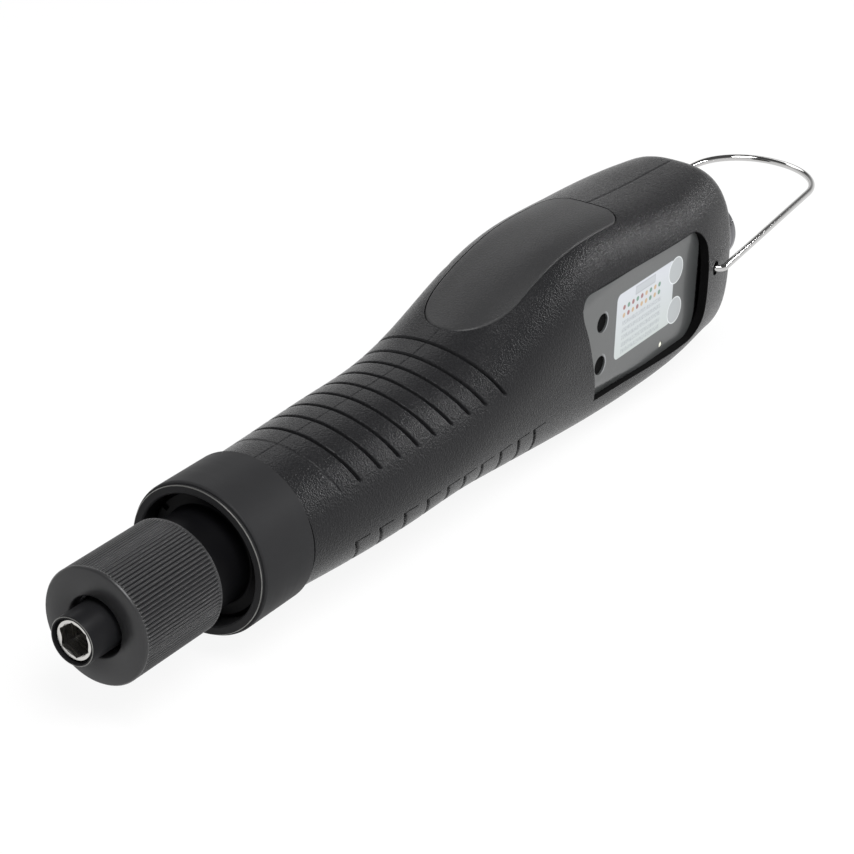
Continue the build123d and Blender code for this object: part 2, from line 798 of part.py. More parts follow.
def inner_form(sections, inset, top_inset=None):
    # the body's form set in by an even distance, with flat faces
    wires = []
    for section in sections:
        upper, middle = upper_points(section, inset, inset if top_inset is None else top_inset, INNER_STEPS)
        wires.append(Wire.make_polygon(upper + lower_points(upper, middle)[1:-1]))
    return Part(Solid.make_loft(wires, ruled=True).wrapped)


def pad_outline(grow=0.0):
    half = PAD_HALF_WIDTH + grow
    middle = PAD_FRONT + PAD_NOSE
    rear = PAD_REAR + grow
    back = Pos((middle + rear) / 2, 0) * Rectangle(rear - middle, 2 * half)
    back = fillet(back.vertices().group_by(Axis.X)[-1], PAD_CORNER)
    return back + Pos(middle, 0) * Ellipse(PAD_NOSE + grow, half)


def above_pad(grow=0.0):
    return extrude(Pos(0, 0, BODY[0].top - PAD_THICKNESS) * pad_outline(grow), amount=FAR)


def panel_prism(y0, y1, shrink=0.0):
    # the label's outline between two planes across Y
    front_top = (PANEL_FRONT_TOP + shrink, PANEL_TOP - shrink)
    rear_top = (PANEL_REAR - shrink, PANEL_TOP - shrink)
    rear_bottom = (PANEL_REAR - shrink, PANEL_BOTTOM + shrink)
    front_bottom = (PANEL_FRONT_BOTTOM + shrink, PANEL_BOTTOM + shrink)
    corners = [(x, y0, z) for x, z in (front_top, rear_top, rear_bottom, front_bottom)]
    solid = extrude(make_face(Polyline(*corners, close=True)), amount=y1 - y0, dir=(0, 1, 0))
    upright = solid.edges().filter_by(Axis.Y).sort_by(Axis.X)
    solid = fillet(upright[2:], PANEL_REAR_CORNER)
    upright = solid.edges().filter_by(Axis.Y).sort_by(Axis.X)
    solid = fillet(upright[0], PANEL_FRONT_CORNER)
    upright = solid.edges().filter_by(Axis.Y)
    toe = [edge for edge in upright if abs(edge.center().Z - front_bottom[1]) < PANEL_TOE_CORNER]
    return fillet(sorted(toe, key=lambda edge: edge.center().X)[:1], PANEL_TOE_CORNER)


def groove_slabs(count, first_x, pitch, z, lean):
    # leaning plates that cut the grip's grooves, one for each step along X
    plate = Box(GROOVE_WIDTH, FAR, FAR)
    return [Pos(first_x + i * pitch, 0, z) * Rot(0, -lean, 0) * plate for i in range(count)]


def grooves(floor):
    cutters = []
    upper = groove_slabs(GROOVES, GROOVE_X, GROOVE_PITCH, GROOVE_TOP_Z, GROOVE_LEAN)
    above = block((body_x, PAD_REAR), (-FAR, FAR), (GROOVE_END_Z, FAR))
    cutters += [slab & above for slab in upper]
    lower = groove_slabs(GROOVES, BELLY_X, BELLY_PITCH, BELLY_END_Z, BELLY_LEAN)
    below = block((body_x, PAD_REAR), (-FAR, FAR), (-FAR, BELLY_END_Z))
    cutters += [slab & below for slab in lower]
    return [cutter - floor for cutter in cutters]


def cavity():
    hollow = inner_form(cavity_sections(), SHELL_WALL, SHELL_WALL + PAD_THICKNESS)
    floor_y = PANEL_Y + LABEL + PANEL_WALL
    hollow -= block((PANEL_FRONT_TOP, PANEL_REAR + PANEL_WALL), (-FAR, floor_y), (-FAR, FAR))
    well = KNOB_WELL[0] / 2 + KNOB_WELL_WALL
    well_z = KNOB_WELL[1] / 2 + KNOB_WELL_WALL
    hollow -= block((DIRECTION_X - well, DIRECTION_X + well), (KNOB_WELL_Y - KNOB_WELL_WALL, FAR),
                    (DIRECTION_Z - well_z, DIRECTION_Z + well_z))
    for x, z in SCREW_PLACES:
        hollow -= cross_rod(x, z, -FAR / 2, FAR / 2, SCREW_R + SCREW_BOSS_WALL)
    return hollow


def closed_shell(body):
    # both halves in one, before they part at the seam
    shell = body + rod(tail_x - TAIL_FILLET, socket_x, SOCKET_BOSS_R) + rod(neck_x, body_x + PAST, neck_r)
    shell -= rod(neck_x - PAST, cup_end + SEAT, neck_bore)
    shell -= rod(cup_end, CAVITY_X + PAST, MOTOR_R + MOTOR_SEAT)
    shell -= cavity()
    shell -= above_pad(TRIM) - inner_form(BODY + (TAIL,), PAD_THICKNESS + SEAT)
    for groove in grooves(inner_form(BODY + (TAIL,), GROOVE_DEPTH)):
        shell -= groove
    shell -= rod(tail_x - TAIL_FILLET, socket_x + PAST, SOCKET_NECK_R + RUNNING)
    shell -= cross_rod(BAIL_X, BAIL_Z, -FAR / 2, FAR / 2, BAIL_WIRE_R + RUNNING)
    for side in (-1, 1):
        ends = sorted((side * BAIL_NOTCH_Y, side * FAR / 2))
        shell -= cross_rod(BAIL_X, BAIL_Z, *ends, BAIL_NOTCH_R)
    return shell


def seam_half(shell, side):
    ends = sorted((0, side * FAR))
    return shell & block((0, tail_x + FAR), ends, (-FAR, FAR))


def left_shell(shell):
    half = seam_half(shell, -1)
    half -= panel_prism(-FAR / 2, PANEL_Y + LABEL)
    for x, z in SCREW_PLACES:
        half -= cross_rod(x, z, -SCREW_REACH, PAST, SCREW_R + SEAT)
    for z in TRIMMER_Z:
        half -= cross_rod(TRIMMER_X, z, -FAR / 2, PAST, TRIMMER_HOLE)
    half -= cross_rod(LAMP_X, LAMP_Z, -FAR / 2, PAST, LAMP_R + RUNNING)
    for x, z in post_places:
        half += cross_rod(x, z, PANEL_Y + LABEL, BOARD_Y - SEAT, BOARD_POST_R)
        half -= cross_rod(x, z, BOARD_Y - BOARD_SCREW_REACH, PAST, BOARD_SCREW_R + SEAT)
    return half


def right_shell(shell):
    half = seam_half(shell, 1)
    for x, z in SCREW_PLACES:
        half -= cross_rod(x, z, -PAST, FAR, SCREW_R + RUNNING)
        half -= cross_rod(x, z, SCREW_SEAT_Y, FAR, SCREW_HEAD_R + SLIDING)
    well_x, well_z = KNOB_WELL[0] / 2, KNOB_WELL[1] / 2
    half -= block((DIRECTION_X - well_x, DIRECTION_X + well_x), (KNOB_WELL_Y, FAR),
                  (DIRECTION_Z - well_z, DIRECTION_Z + well_z))
    slot_x, slot_z = KNOB_STEM / 2 + DIRECTION_TRAVEL + SLIDING, KNOB_STEM / 2 + SLIDING
    return half - block((DIRECTION_X - slot_x, DIRECTION_X + slot_x), (0, FAR),
                        (DIRECTION_Z - slot_z, DIRECTION_Z + slot_z))


def thumb_pad(body):
    return (body - inner_form(BODY + (TAIL,), PAD_THICKNESS)) & above_pad()


def shell_screws():
    screws = []
    for x, z in SCREW_PLACES:
        shank = cross_rod(x, z, PAST - SCREW_REACH, SCREW_SEAT_Y + SEAT, SCREW_R)
        head = cross_rod(x, z, SCREW_SEAT_Y + SEAT, SCREW_SEAT_Y + SCREW_HEAD, SCREW_HEAD_R)
        screws.append(shank + head)
    return screws


# Panel and control board
post_places = [(x, z) for x in (BOARD_FRONT + POST_INSET[0], BOARD_REAR - POST_INSET[0])
               for z in (BOARD_TOP - POST_INSET[1], BOARD_BOTTOM + POST_INSET[1])]
board_back = BOARD_Y + BOARD
transistor_x = [BOARD_FRONT + TRANSISTOR_START + i * (TRANSISTOR[0] + TRANSISTOR_GAP)
                for i in range(TRANSISTOR_COLUMNS + 1)]


def panel_label():
    label = panel_prism(PANEL_Y, PANEL_Y + LABEL - SEAT, TRIM)
    for z in TRIMMER_Z:
        label -= cross_rod(TRIMMER_X, z, PANEL_Y - PAST, 0, TRIMMER_HOLE)
    return label - cross_rod(LAMP_X, LAMP_Z, PANEL_Y - PAST, 0, LAMP_R + RUNNING)


def status_lamp():
    base = cross_rod(LAMP_X, LAMP_Z, BOARD_Y - SEAT - LAMP_BASE, BOARD_Y - SEAT, LAMP_BASE_R)
    return base + cross_rod(LAMP_X, LAMP_Z, PANEL_Y, BOARD_Y - SEAT * 2, LAMP_R)


def trimmer_bodies():
    front = BOARD_Y - SEAT - TRIMMER_BODY
    return [cross_rod(TRIMMER_X, z, front, BOARD_Y - SEAT, TRIMMER_BODY_R) for z in TRIMMER_Z]


def trimmer(z):
    face = PANEL_Y + TRIMMER_RECESS
    screw = cross_rod(TRIMMER_X, z, face, BOARD_Y - 2 * SEAT - TRIMMER_BODY, TRIMMER_R)
    half = TRIMMER_SLOT / 2
    slot = block((TRIMMER_X - half, TRIMMER_X + half), (face - PAST, face + TRIMMER_SLOT), (z - FAR, z + FAR))
    return screw - slot


def control_board():
    board = block((BOARD_FRONT, BOARD_REAR), (BOARD_Y, board_back), (BOARD_BOTTOM, BOARD_TOP))
    for x, z in post_places:
        board -= cross_rod(x, z, BOARD_Y - PAST, board_back + PAST, BOARD_SCREW_R + RUNNING)
    return board


def board_screws():
    screws = []
    for x, z in post_places:
        shank = cross_rod(x, z, BOARD_Y - BOARD_SCREW_REACH + PAST, board_back + SEAT, BOARD_SCREW_R)
        head = cross_rod(x, z, board_back + SEAT, board_back + BOARD_SCREW_HEAD, BOARD_SCREW_HEAD_R)
        screws.append(shank + head)
    return screws


def drive_transistors():
    length, depth, height = TRANSISTOR
    low = board_back + SEAT
    return [block((x, x + length), (low, low + depth), (z, z + height))
            for x in transistor_x[:-1] for z in TRANSISTOR_ROWS]


def board_capacitor():
    x = transistor_x[-1]
    middle = board_back + SEAT + CAPACITOR_R
    z = BOARD_BOTTOM + CAPACITOR_R + CAPACITOR_RISE
    return Pos(0, middle, z) * rod(x, x + CAPACITOR_LENGTH, CAPACITOR_R)


# Direction switch on the far side
def direction_switch():
    x, y, z = (size / 2 for size in DIRECTION_CASE)
    back = KNOB_WELL_Y - KNOB_WELL_WALL - SEAT
    return block((DIRECTION_X - x, DIRECTION_X + x), (back - 2 * y, back), (DIRECTION_Z - z, DIRECTION_Z + z))


def direction_knob():
    stem, half_x, half_z = KNOB_STEM / 2, KNOB[0] / 2, KNOB[1] / 2
    base = KNOB_WELL_Y + SLIDING
    knob = block((DIRECTION_X - half_x, DIRECTION_X + half_x), (base, base + KNOB_RISE),
                 (DIRECTION_Z - half_z, DIRECTION_Z + half_z))
    knob = chamfer(knob.edges().group_by(Axis.Y)[-1], KNOB_CHAMFER)
    return knob + block((DIRECTION_X - stem, DIRECTION_X + stem), (KNOB_WELL_Y - KNOB_WELL_WALL, base + PAST),
                        (DIRECTION_Z - stem, DIRECTION_Z + stem))


# Power socket
socket_x = tail_x + FREE
barrel_x = socket_x + SOCKET_FLANGE + SEAT
socket_end = socket_x + SOCKET_REACH
neck_inner = tail_x - TAIL_WALL - NUT - SOCKET_FLANGE
socket_floor = barrel_x + SOCKET_FLANGE


def power_socket():
    return turned(
        (neck_inner, SOCKET_CORE_R), (neck_inner, SOCKET_NECK_R), (socket_x + SEAT, SOCKET_NECK_R),
        (socket_x + SEAT, SOCKET_FLANGE_R), (barrel_x, SOCKET_FLANGE_R), (barrel_x, SOCKET_R),
        (socket_end - SOCKET_CHAMFER, SOCKET_R), (socket_end, SOCKET_R - SOCKET_CHAMFER),
        (socket_end, SOCKET_BORE), (socket_floor, SOCKET_BORE), (socket_floor, SOCKET_CORE_R),
    )


def socket_nut():
    rear = tail_x - TAIL_WALL - SEAT
    hole = rod(rear - NUT - PAST, rear + PAST, SOCKET_NECK_R + RUNNING)
    return prism(hexagon(NUT_FLATS), rear - NUT, rear) - hole


def pin_set(x0, x1, radius):
    return around(SOCKET_PINS, Pos(0, SOCKET_PIN_CIRCLE, 0) * rod(x0, x1, radius), 90)


def socket_insulator():
    body = rod(neck_inner - SEAT, socket_floor + SEAT * 2, SOCKET_CORE_R - SEAT)
    body += rod(socket_floor + SEAT, socket_floor + SOCKET_DISC, SOCKET_BORE - SEAT)
    for hole in pin_set(neck_inner - PAST, socket_floor + SOCKET_DISC + PAST, SOCKET_PIN_R + SEAT):
        body -= hole
    return body


def socket_pins():
    return pin_set(neck_inner - SOCKET_PIN_RISE, socket_floor + SOCKET_DISC + SOCKET_PIN_RISE, SOCKET_PIN_R)


# Bail of bent wire
def bail():
    inside, side, end = BAIL_HALF_WIDTH - BAIL_PIN, BAIL_HALF_WIDTH, BAIL_END_HALF_WIDTH
    tip = BAIL_X + BAIL_REACH
    corners = [(BAIL_X, -inside), (BAIL_X, -side), (tip, -end), (tip, end), (BAIL_X, side), (BAIL_X, inside)]
    radii = [BAIL_BEND, BAIL_ARC_R, BAIL_ARC_R, BAIL_BEND]
    path = FilletPolyline(*[(x, y, BAIL_Z) for x, y in corners], radius=radii)
    return wire_along(path, BAIL_WIRE_R, BAIL_SIDES)


def solids_of(shape):
    parts = shape if isinstance(shape, list) else [shape]
    return [solid for part in parts for solid in part.solids()]


def save(name, shape):
    solids = solids_of(shape)
    export_step(solids[0] if len(solids) == 1 else Compound(children=solids), f"parts/{name}.step")


def nodes():
    yield "bit_holder", bit_holder()
    yield "bit_detent_balls", bit_detent_balls()
    yield "sleeve_snap_ring", sleeve_snap_ring()
    yield "sleeve_spring", sleeve_spring()
    yield "quick_release_sleeve", quick_release_sleeve()
    yield "torque_ring", torque_ring()
    yield "torque_spring_washer", torque_spring_washer()
    yield "torque_spring", torque_spring()
    yield "clutch_pressure_washer", clutch_pressure_washer()
    yield "clutch_balls", clutch_balls()
    yield "clutch_barrel", clutch_barrel()
    yield "spindle_bearing", spindle_bearing()
    yield "start_return_spring", start_return_spring()
    yield "front_collar", front_collar()
    yield "clutch_ring_gear", clutch_ring_gear()
    yield "output_carrier", output_carrier()
    yield "output_planet_pins", planet_pins(output_plate_x)
    yield "input_carrier", input_carrier()
    yield "input_planet_pins", planet_pins(input_plate_x)
    for i in range(PLANETS):
        yield f"output_planet_{i + 1}", planet(output_gears_x, i)
        yield f"input_planet_{i + 1}", planet(input_gears_x, i)
    yield "input_ring_gear", input_ring_gear()
    yield "motor_pinion", motor_pinion()
    yield "rotor_shaft", rotor_shaft()
    yield "rotor_magnet", rotor_magnet()
    yield "motor_can", motor_can()
    yield "motor_front_plate", motor_front_plate()
    yield "motor_rear_plate", motor_rear_plate()
    yield "motor_bearings", motor_bearings()
    yield "stator_core", stator_core()
    yield "stator_coils", stator_coils()
    yield "push_rod", push_rod()
    yield "start_switch_plunger", start_switch_plunger()
    yield "start_switch", start_switch()
    yield "switch_bracket", switch_bracket()
    body = body_form()
    shell = closed_shell(body)
    yield "left_shell", left_shell(shell)
    yield "right_shell", right_shell(shell)
    yield "thumb_pad", thumb_pad(body)
    yield "shell_screws", shell_screws()
    yield "panel_label", panel_label()
    yield "status_lamp", status_lamp()
    yield "trimmer_bodies", trimmer_bodies()
    yield "speed_trimmer", trimmer(TRIMMER_Z[0])
    yield "soft_start_trimmer", trimmer(TRIMMER_Z[1])
    yield "control_board", control_board()
    yield "board_screws", board_screws()
    yield "drive_transistors", drive_transistors()
    yield "board_capacitor", board_capacitor()
    yield "direction_switch", direction_switch()
    yield "direction_knob", direction_knob()
    yield "power_socket", power_socket()
    yield "socket_nut", socket_nut()
    yield "socket_insulator", socket_insulator()
    yield "socket_pins", socket_pins()
    yield "bail", bail()


os.makedirs("parts", exist_ok=True)
for node_name, node_shape in nodes():
    save(node_name, node_shape)
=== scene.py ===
import bpy
import bmesh
from math import atan2, cos, pi, radians, sin, sqrt
from mathutils import Matrix, Vector


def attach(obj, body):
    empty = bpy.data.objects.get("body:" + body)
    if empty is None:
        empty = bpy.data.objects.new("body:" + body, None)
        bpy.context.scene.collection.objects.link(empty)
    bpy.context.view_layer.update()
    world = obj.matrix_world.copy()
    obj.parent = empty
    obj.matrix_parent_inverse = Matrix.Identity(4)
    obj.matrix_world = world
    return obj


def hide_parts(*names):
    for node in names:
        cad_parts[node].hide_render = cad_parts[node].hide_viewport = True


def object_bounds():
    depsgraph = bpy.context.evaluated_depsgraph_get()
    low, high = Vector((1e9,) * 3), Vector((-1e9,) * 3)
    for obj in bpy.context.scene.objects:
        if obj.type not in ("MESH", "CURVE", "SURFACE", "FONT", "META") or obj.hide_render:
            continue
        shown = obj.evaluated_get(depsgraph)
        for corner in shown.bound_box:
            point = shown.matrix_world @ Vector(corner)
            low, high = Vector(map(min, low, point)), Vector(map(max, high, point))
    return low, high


# Lengths here are millimetres until a piece is placed; the origin and axes are the frame's.
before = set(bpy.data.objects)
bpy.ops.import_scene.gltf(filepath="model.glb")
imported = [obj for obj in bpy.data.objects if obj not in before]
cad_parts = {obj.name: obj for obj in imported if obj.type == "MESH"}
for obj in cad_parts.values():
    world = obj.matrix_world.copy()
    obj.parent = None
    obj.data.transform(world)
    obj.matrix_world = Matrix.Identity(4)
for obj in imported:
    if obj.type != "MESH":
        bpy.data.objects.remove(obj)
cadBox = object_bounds()
mm = 0.001
tau = 2 * pi
print("frame loaded")


# a shader value: arithmetic on it adds the nodes that work it out
class Value:
    def __init__(self, finish, socket):
        self.finish = finish
        self.socket = socket

    def math(self, operation, *others):
        return self.finish.add("ShaderNodeMath", {"operation": operation}, (self, *others))

    def before(self, operation, other):
        return self.finish.add("ShaderNodeMath", {"operation": operation}, (other, self))

    def __add__(self, other):
        return self.math("ADD", other)

    def __sub__(self, other):
        return self.math("SUBTRACT", other)

    def __rsub__(self, other):
        return self.before("SUBTRACT", other)

    def __mul__(self, other):
        return self.math("MULTIPLY", other)

    def __truediv__(self, other):
        return self.math("DIVIDE", other)

    def __rtruediv__(self, other):
        return self.before("DIVIDE", other)

    def __lt__(self, other):
        return self.math("LESS_THAN", other)

    def __gt__(self, other):
        return self.math("GREATER_THAN", other)

    def __abs__(self):
        return self.math("ABSOLUTE")

    __radd__ = __add__
    __rmul__ = __mul__

    def ramp(self, low, high, fromMin=0.0, fromMax=1.0):
        return self.finish.add("ShaderNodeMapRange", {"clamp": True}, (self, fromMin, fromMax, low, high))


class Finish:
    def __init__(self, name):
        self.material = bpy.data.materials.new(name)
        self.material.use_nodes = True
        self.tree = self.material.node_tree
        self.tree.nodes.clear()
        output = self.tree.nodes.new("ShaderNodeOutputMaterial")
        self.shader = self.tree.nodes.new("ShaderNodeBsdfPrincipled")
        self.tree.links.new(self.shader.outputs[0], output.inputs[0])

    def give(self, socket, value):
        if isinstance(value, Value):
            self.tree.links.new(value.socket, socket)
        elif isinstance(value, tuple) and len(value) < len(socket.default_value):
            socket.default_value = (*value, 1.0)
        else:
            socket.default_value = value

    def add(self, kind, settings, sockets=(), out=0):
        node = self.tree.nodes.new(kind)
        for key, value in settings.items():
            setattr(node, key, value)
        pairs = sockets.items() if isinstance(sockets, dict) else enumerate(sockets)
        for key, value in pairs:
            self.give(node.inputs[key], value)
        return Value(self, node.outputs[out])

    def position(self):
        return self.add("ShaderNodeTexCoord", {}, out="Object")

    def axes(self):
        place = self.position()
        return [self.add("ShaderNodeSeparateXYZ", {}, (place,), i) * (1 / mm) for i in range(3)]

    def noise(self, scale, detail=2.0, rough=0.5, stretch=(1, 1, 1)):
        place = self.add("ShaderNodeMapping", {}, {"Vector": self.position(), "Scale": stretch})
        return self.add("ShaderNodeTexNoise", {},
                        {"Vector": place, "Scale": scale, "Detail": detail, "Roughness": rough})

    def cells(self, scale):
        return self.add("ShaderNodeTexVoronoi", {}, {"Vector": self.position(), "Scale": scale})

    def mix(self, share, first, second):
        return self.add("ShaderNodeMix", {"data_type": "RGBA"}, {0: share, 6: first, 7: second}, 2)

    def rounded(self, x, z, x0, x1, z0, z1, corner=0.0, edge=0.08):
        # 1 inside a rounded rectangle
        dx = (abs(x - (x0 + x1) / 2) - ((x1 - x0) / 2 - corner)).math("MAXIMUM", 0.0)
        dz = (abs(z - (z0 + z1) / 2) - ((z1 - z0) / 2 - corner)).math("MAXIMUM", 0.0)
        return ((dx * dx + dz * dz).math("SQRT") - corner).ramp(1, 0, -edge, edge)

    def bump(self, height, strength, distance):
        return self.add("ShaderNodeBump", {}, {"Strength": strength, "Distance": distance, "Height": height})

    def set(self, sockets):
        for key, value in sockets.items():
            self.give(self.shader.inputs[key], value)
        return self.material


def shade(color, share):
    return tuple(min(1.0, c * share) for c in color)


def mouldedPlastic(name, color, rough, grain, bump=0.3, gloss=0.3, recess=None):
    # spark-eroded mould texture: fine pits, slightly uneven tone and polish; with a recess given, painted shade on the
    # walls inside it
    f = Finish(name)
    cloud = f.noise(60, 3)
    fine = f.noise(grain, 3, 0.6)
    pits = f.cells(grain * 0.8)
    tone = f.mix(cloud, shade(color, 0.88), shade(color, 1.14))
    recessShadeMask = 0.0
    if recess:
        # painted shade: the walls inside this rounded outline are darkened to a tenth of the colour, and made matt
        x, y, z = f.axes()
        recessShadeMask = f.rounded(x, z, *recess["box"]) * (x > recess["front"]) * (y < recess["inside"])
        tone = f.mix(recessShadeMask, tone, shade(color, 0.1))
    return f.set({"Base Color": tone, "Roughness": fine.ramp(rough - 0.05, rough + 0.06, 0.3, 0.7) + recessShadeMask,
                  "Normal": f.bump(fine * 0.6 + pits * 0.5, bump, 0.00016), "Specular IOR Level": gloss})


def turnedMetal(name, color, rough, stretch=(1, 1, 1), metallic=1.0, bump=0.05, coat=0.0, gloss=0.5):
    # tool marks run along the axis of the smallest stretch
    f = Finish(name)
    lines = f.noise(900, 2, 0.5, stretch)
    cloud = f.noise(45, 3)
    tone = f.mix(cloud, shade(color, 0.86), shade(color, 1.12))
    return f.set({"Base Color": tone, "Metallic": metallic, "Roughness": lines * 0.12 + (rough - 0.06),
                  "Normal": f.bump(lines, bump, 0.00005), "Coat Weight": coat, "Specular IOR Level": gloss})


def rimHighlightFinish(name, color, rough, rim, highlightTone=(0.24, 0.24, 0.23)):
    # dark finish with a painted highlight on a rim: a brighter metallic band, broken up by noise, between x limits and
    # radius limits
    f = Finish(name)
    x, y, z = f.axes()
    radius = (y * y + z * z).math("SQRT")
    lines = f.noise(900, 2, 0.5, (1, 0.1, 0.1))
    cloud = f.noise(45, 3)
    bandNoise = f.noise(500, 3)
    x0, x1, r0, r1 = rim
    highlightBand = (x > x0) * (x < x1) * (radius > r0) * (radius < r1) * bandNoise.ramp(0.55, 1.0, 0.35, 0.6)
    tone = f.mix(cloud, shade(color, 0.86), shade(color, 1.12))
    return f.set({"Base Color": f.mix(highlightBand, tone, highlightTone), "Metallic": highlightBand, "Specular IOR Level": 0.06,
                  "Roughness": lines * 0.12 + (rough - 0.06), "Normal": f.bump(lines, 0.05, 0.00005)})


def chromeFinish(name, color=(0.56, 0.555, 0.55), rough=0.06):
    f = Finish(name)
    cloud = f.noise(70, 2)
    scratch = f.noise(1400, 1, 0.4, (0.15, 1, 1))
    return f.set({"Base Color": f.mix(cloud, shade(color, 0.96), color), "Metallic": 1.0,
                  "Roughness": cloud * 0.03 + scratch * 0.03 + (rough - 0.02)})


def palePlastic(name, color):
    f = Finish(name)
    cloud = f.noise(400, 2)
    return f.set({"Base Color": f.mix(cloud, shade(color, 0.85), color), "Roughness": 0.25, "Coat Weight": 0.5,
                  "Emission Color": color, "Emission Strength": 0.1})


# the panel's recess, whose walls get painted shade in the shell's colour
panelRecessShade = {"box": (149.0, 207.5, -9.3, 18.7, 6.0), "front": 160.1, "inside": -12.0}
shellPlastic = mouldedPlastic("shell plastic", (0.0125, 0.0125, 0.0134), 0.27, 2500, 0.85, 0.12, panelRecessShade)
padPlastic = mouldedPlastic("thumb pad plastic", (0.024, 0.024, 0.0248), 0.4, 2500, 0.6, 0.2)
boardGreen = mouldedPlastic("circuit board resist", (0.015, 0.14, 0.06), 0.35, 900)
chipBlack = mouldedPlastic("chip resin", (0.02, 0.02, 0.021), 0.5, 1800)
trimmerGrey = mouldedPlastic("trimmer rotor plastic", (0.07, 0.071, 0.075), 0.4, 1900)
trimmerBlue = mouldedPlastic("trimmer case plastic", (0.03, 0.08, 0.25), 0.4, 1900)
knobBlack = mouldedPlastic("knob plastic", (0.014, 0.014, 0.015), 0.4, 2100)
insulatorBlack = mouldedPlastic("insulator plastic", (0.012, 0.012, 0.013), 0.45, 2100)
switchBlack = mouldedPlastic("switch case plastic", (0.03, 0.03, 0.032), 0.45, 1500)
# the collar's front lip, the sleeve's front edge and the barrel's root fillet carry painted rim highlights
collarBlack = rimHighlightFinish("collar black anodising", (0.021, 0.021, 0.022), 0.46, (36.8, 37.06, 15.78, 16.0))
ringBlack = turnedMetal("torque ring black anodising", (0.026, 0.026, 0.027), 0.36, (1, 1, 1), 0.2, 0.05, gloss=0.4)
sleeveBlack = rimHighlightFinish("sleeve black oxide", (0.011, 0.011, 0.012), 0.34, (-0.1, 0.1, 4.92, 5.1))
barrelDark = rimHighlightFinish("barrel turned steel", (0.003, 0.003, 0.0035), 0.42, (39.6, 40.39, 10.0, 10.3))
holderSteel = turnedMetal("bit holder turned steel", (0.62, 0.61, 0.59), 0.27, (1, 0.1, 0.1), 1.0, 0.08)
groundSteel = turnedMetal("ground steel", (0.6, 0.6, 0.61), 0.25, (0.1, 1, 1))
springSteel = turnedMetal("spring wire", (0.42, 0.42, 0.44), 0.3)
gearSteel = turnedMetal("machined gear steel", (0.5, 0.5, 0.52), 0.33, (1, 0.2, 0.2))
zincSteel = turnedMetal("zinc plated steel", (0.52, 0.52, 0.55), 0.35, (0.2, 1, 1))
magnetDark = turnedMetal("sintered magnet", (0.1, 0.1, 0.11), 0.5, (1, 1, 1), 0.8, 0.2)
stackIron = turnedMetal("laminated iron", (0.2, 0.2, 0.21), 0.45, (8, 0.1, 0.1), 0.9, 0.4)
copperWire = turnedMetal("enamelled copper", (0.62, 0.26, 0.11), 0.32, (0.05, 2, 2), 1.0, 0.5)
capacitorCan = turnedMetal("capacitor can", (0.6, 0.6, 0.62), 0.3, (0.1, 1, 1))
screwBlack = turnedMetal("screw black zinc", (0.05, 0.05, 0.052), 0.33, (1, 1, 1), 0.9)
pinBrass = turnedMetal("plated pin brass", (0.78, 0.6, 0.28), 0.25, (0.1, 1, 1))
chromePlate = chromeFinish("chrome plate")
# the socket's chrome darkened to 0.2, well below the bail's chrome: painted dark reflection
darkenedSocketChrome = chromeFinish("power socket plating", (0.2, 0.2, 0.21), 0.12)
lampPale = palePlastic("lamp translucent plastic", (0.85, 0.85, 0.74))


# the panel's print, with x along the tool and z up it
panelPrint = {
    "grey": (0.056, 0.059, 0.059), "tableLow": (0.43, 0.47, 0.46), "tableHigh": (0.49, 0.51, 0.55),
    "table": (168.7, 195.5, -2.5, 13.9), "corner": 1.6, "edge": 0.08,
    "circles": ((196.4, 10.7), (197.0, 0.2)), "circleR": 3.4, "circleLine": 0.22,
    "circlePale": (0.66, 0.69, 0.7), "circleGrey": (0.33, 0.35, 0.36),
    "dotRows": (9.9, 7.9), "dotStart": 172.2, "dotPitch": 2.05, "dotR": 0.6, "dots": 9,
    "figureRows": (5.9, 4.1, 2.3, 0.5, -1.2), "figurePitch": 0.72, "figureHalf": 0.55,
    "figureInk": (0.24, 0.26, 0.29), "boxOut": (177.2, 186.4, 11.2, 13.3), "boxIn": (177.5, 186.1, 11.5, 13.0),
    "boxInk": (0.1, 0.11, 0.13), "boxPale": (0.45, 0.48, 0.5),
    "red": (0.22, 0.045, 0.04), "green": (0.05, 0.17, 0.1), "amber": (0.42, 0.27, 0.12),
    "dials": ((162.2, 9.6), (162.2, -1.0)), "arcIn": 2.4, "arcOut": 2.85, "arcPale": (0.3, 0.31, 0.33),
}


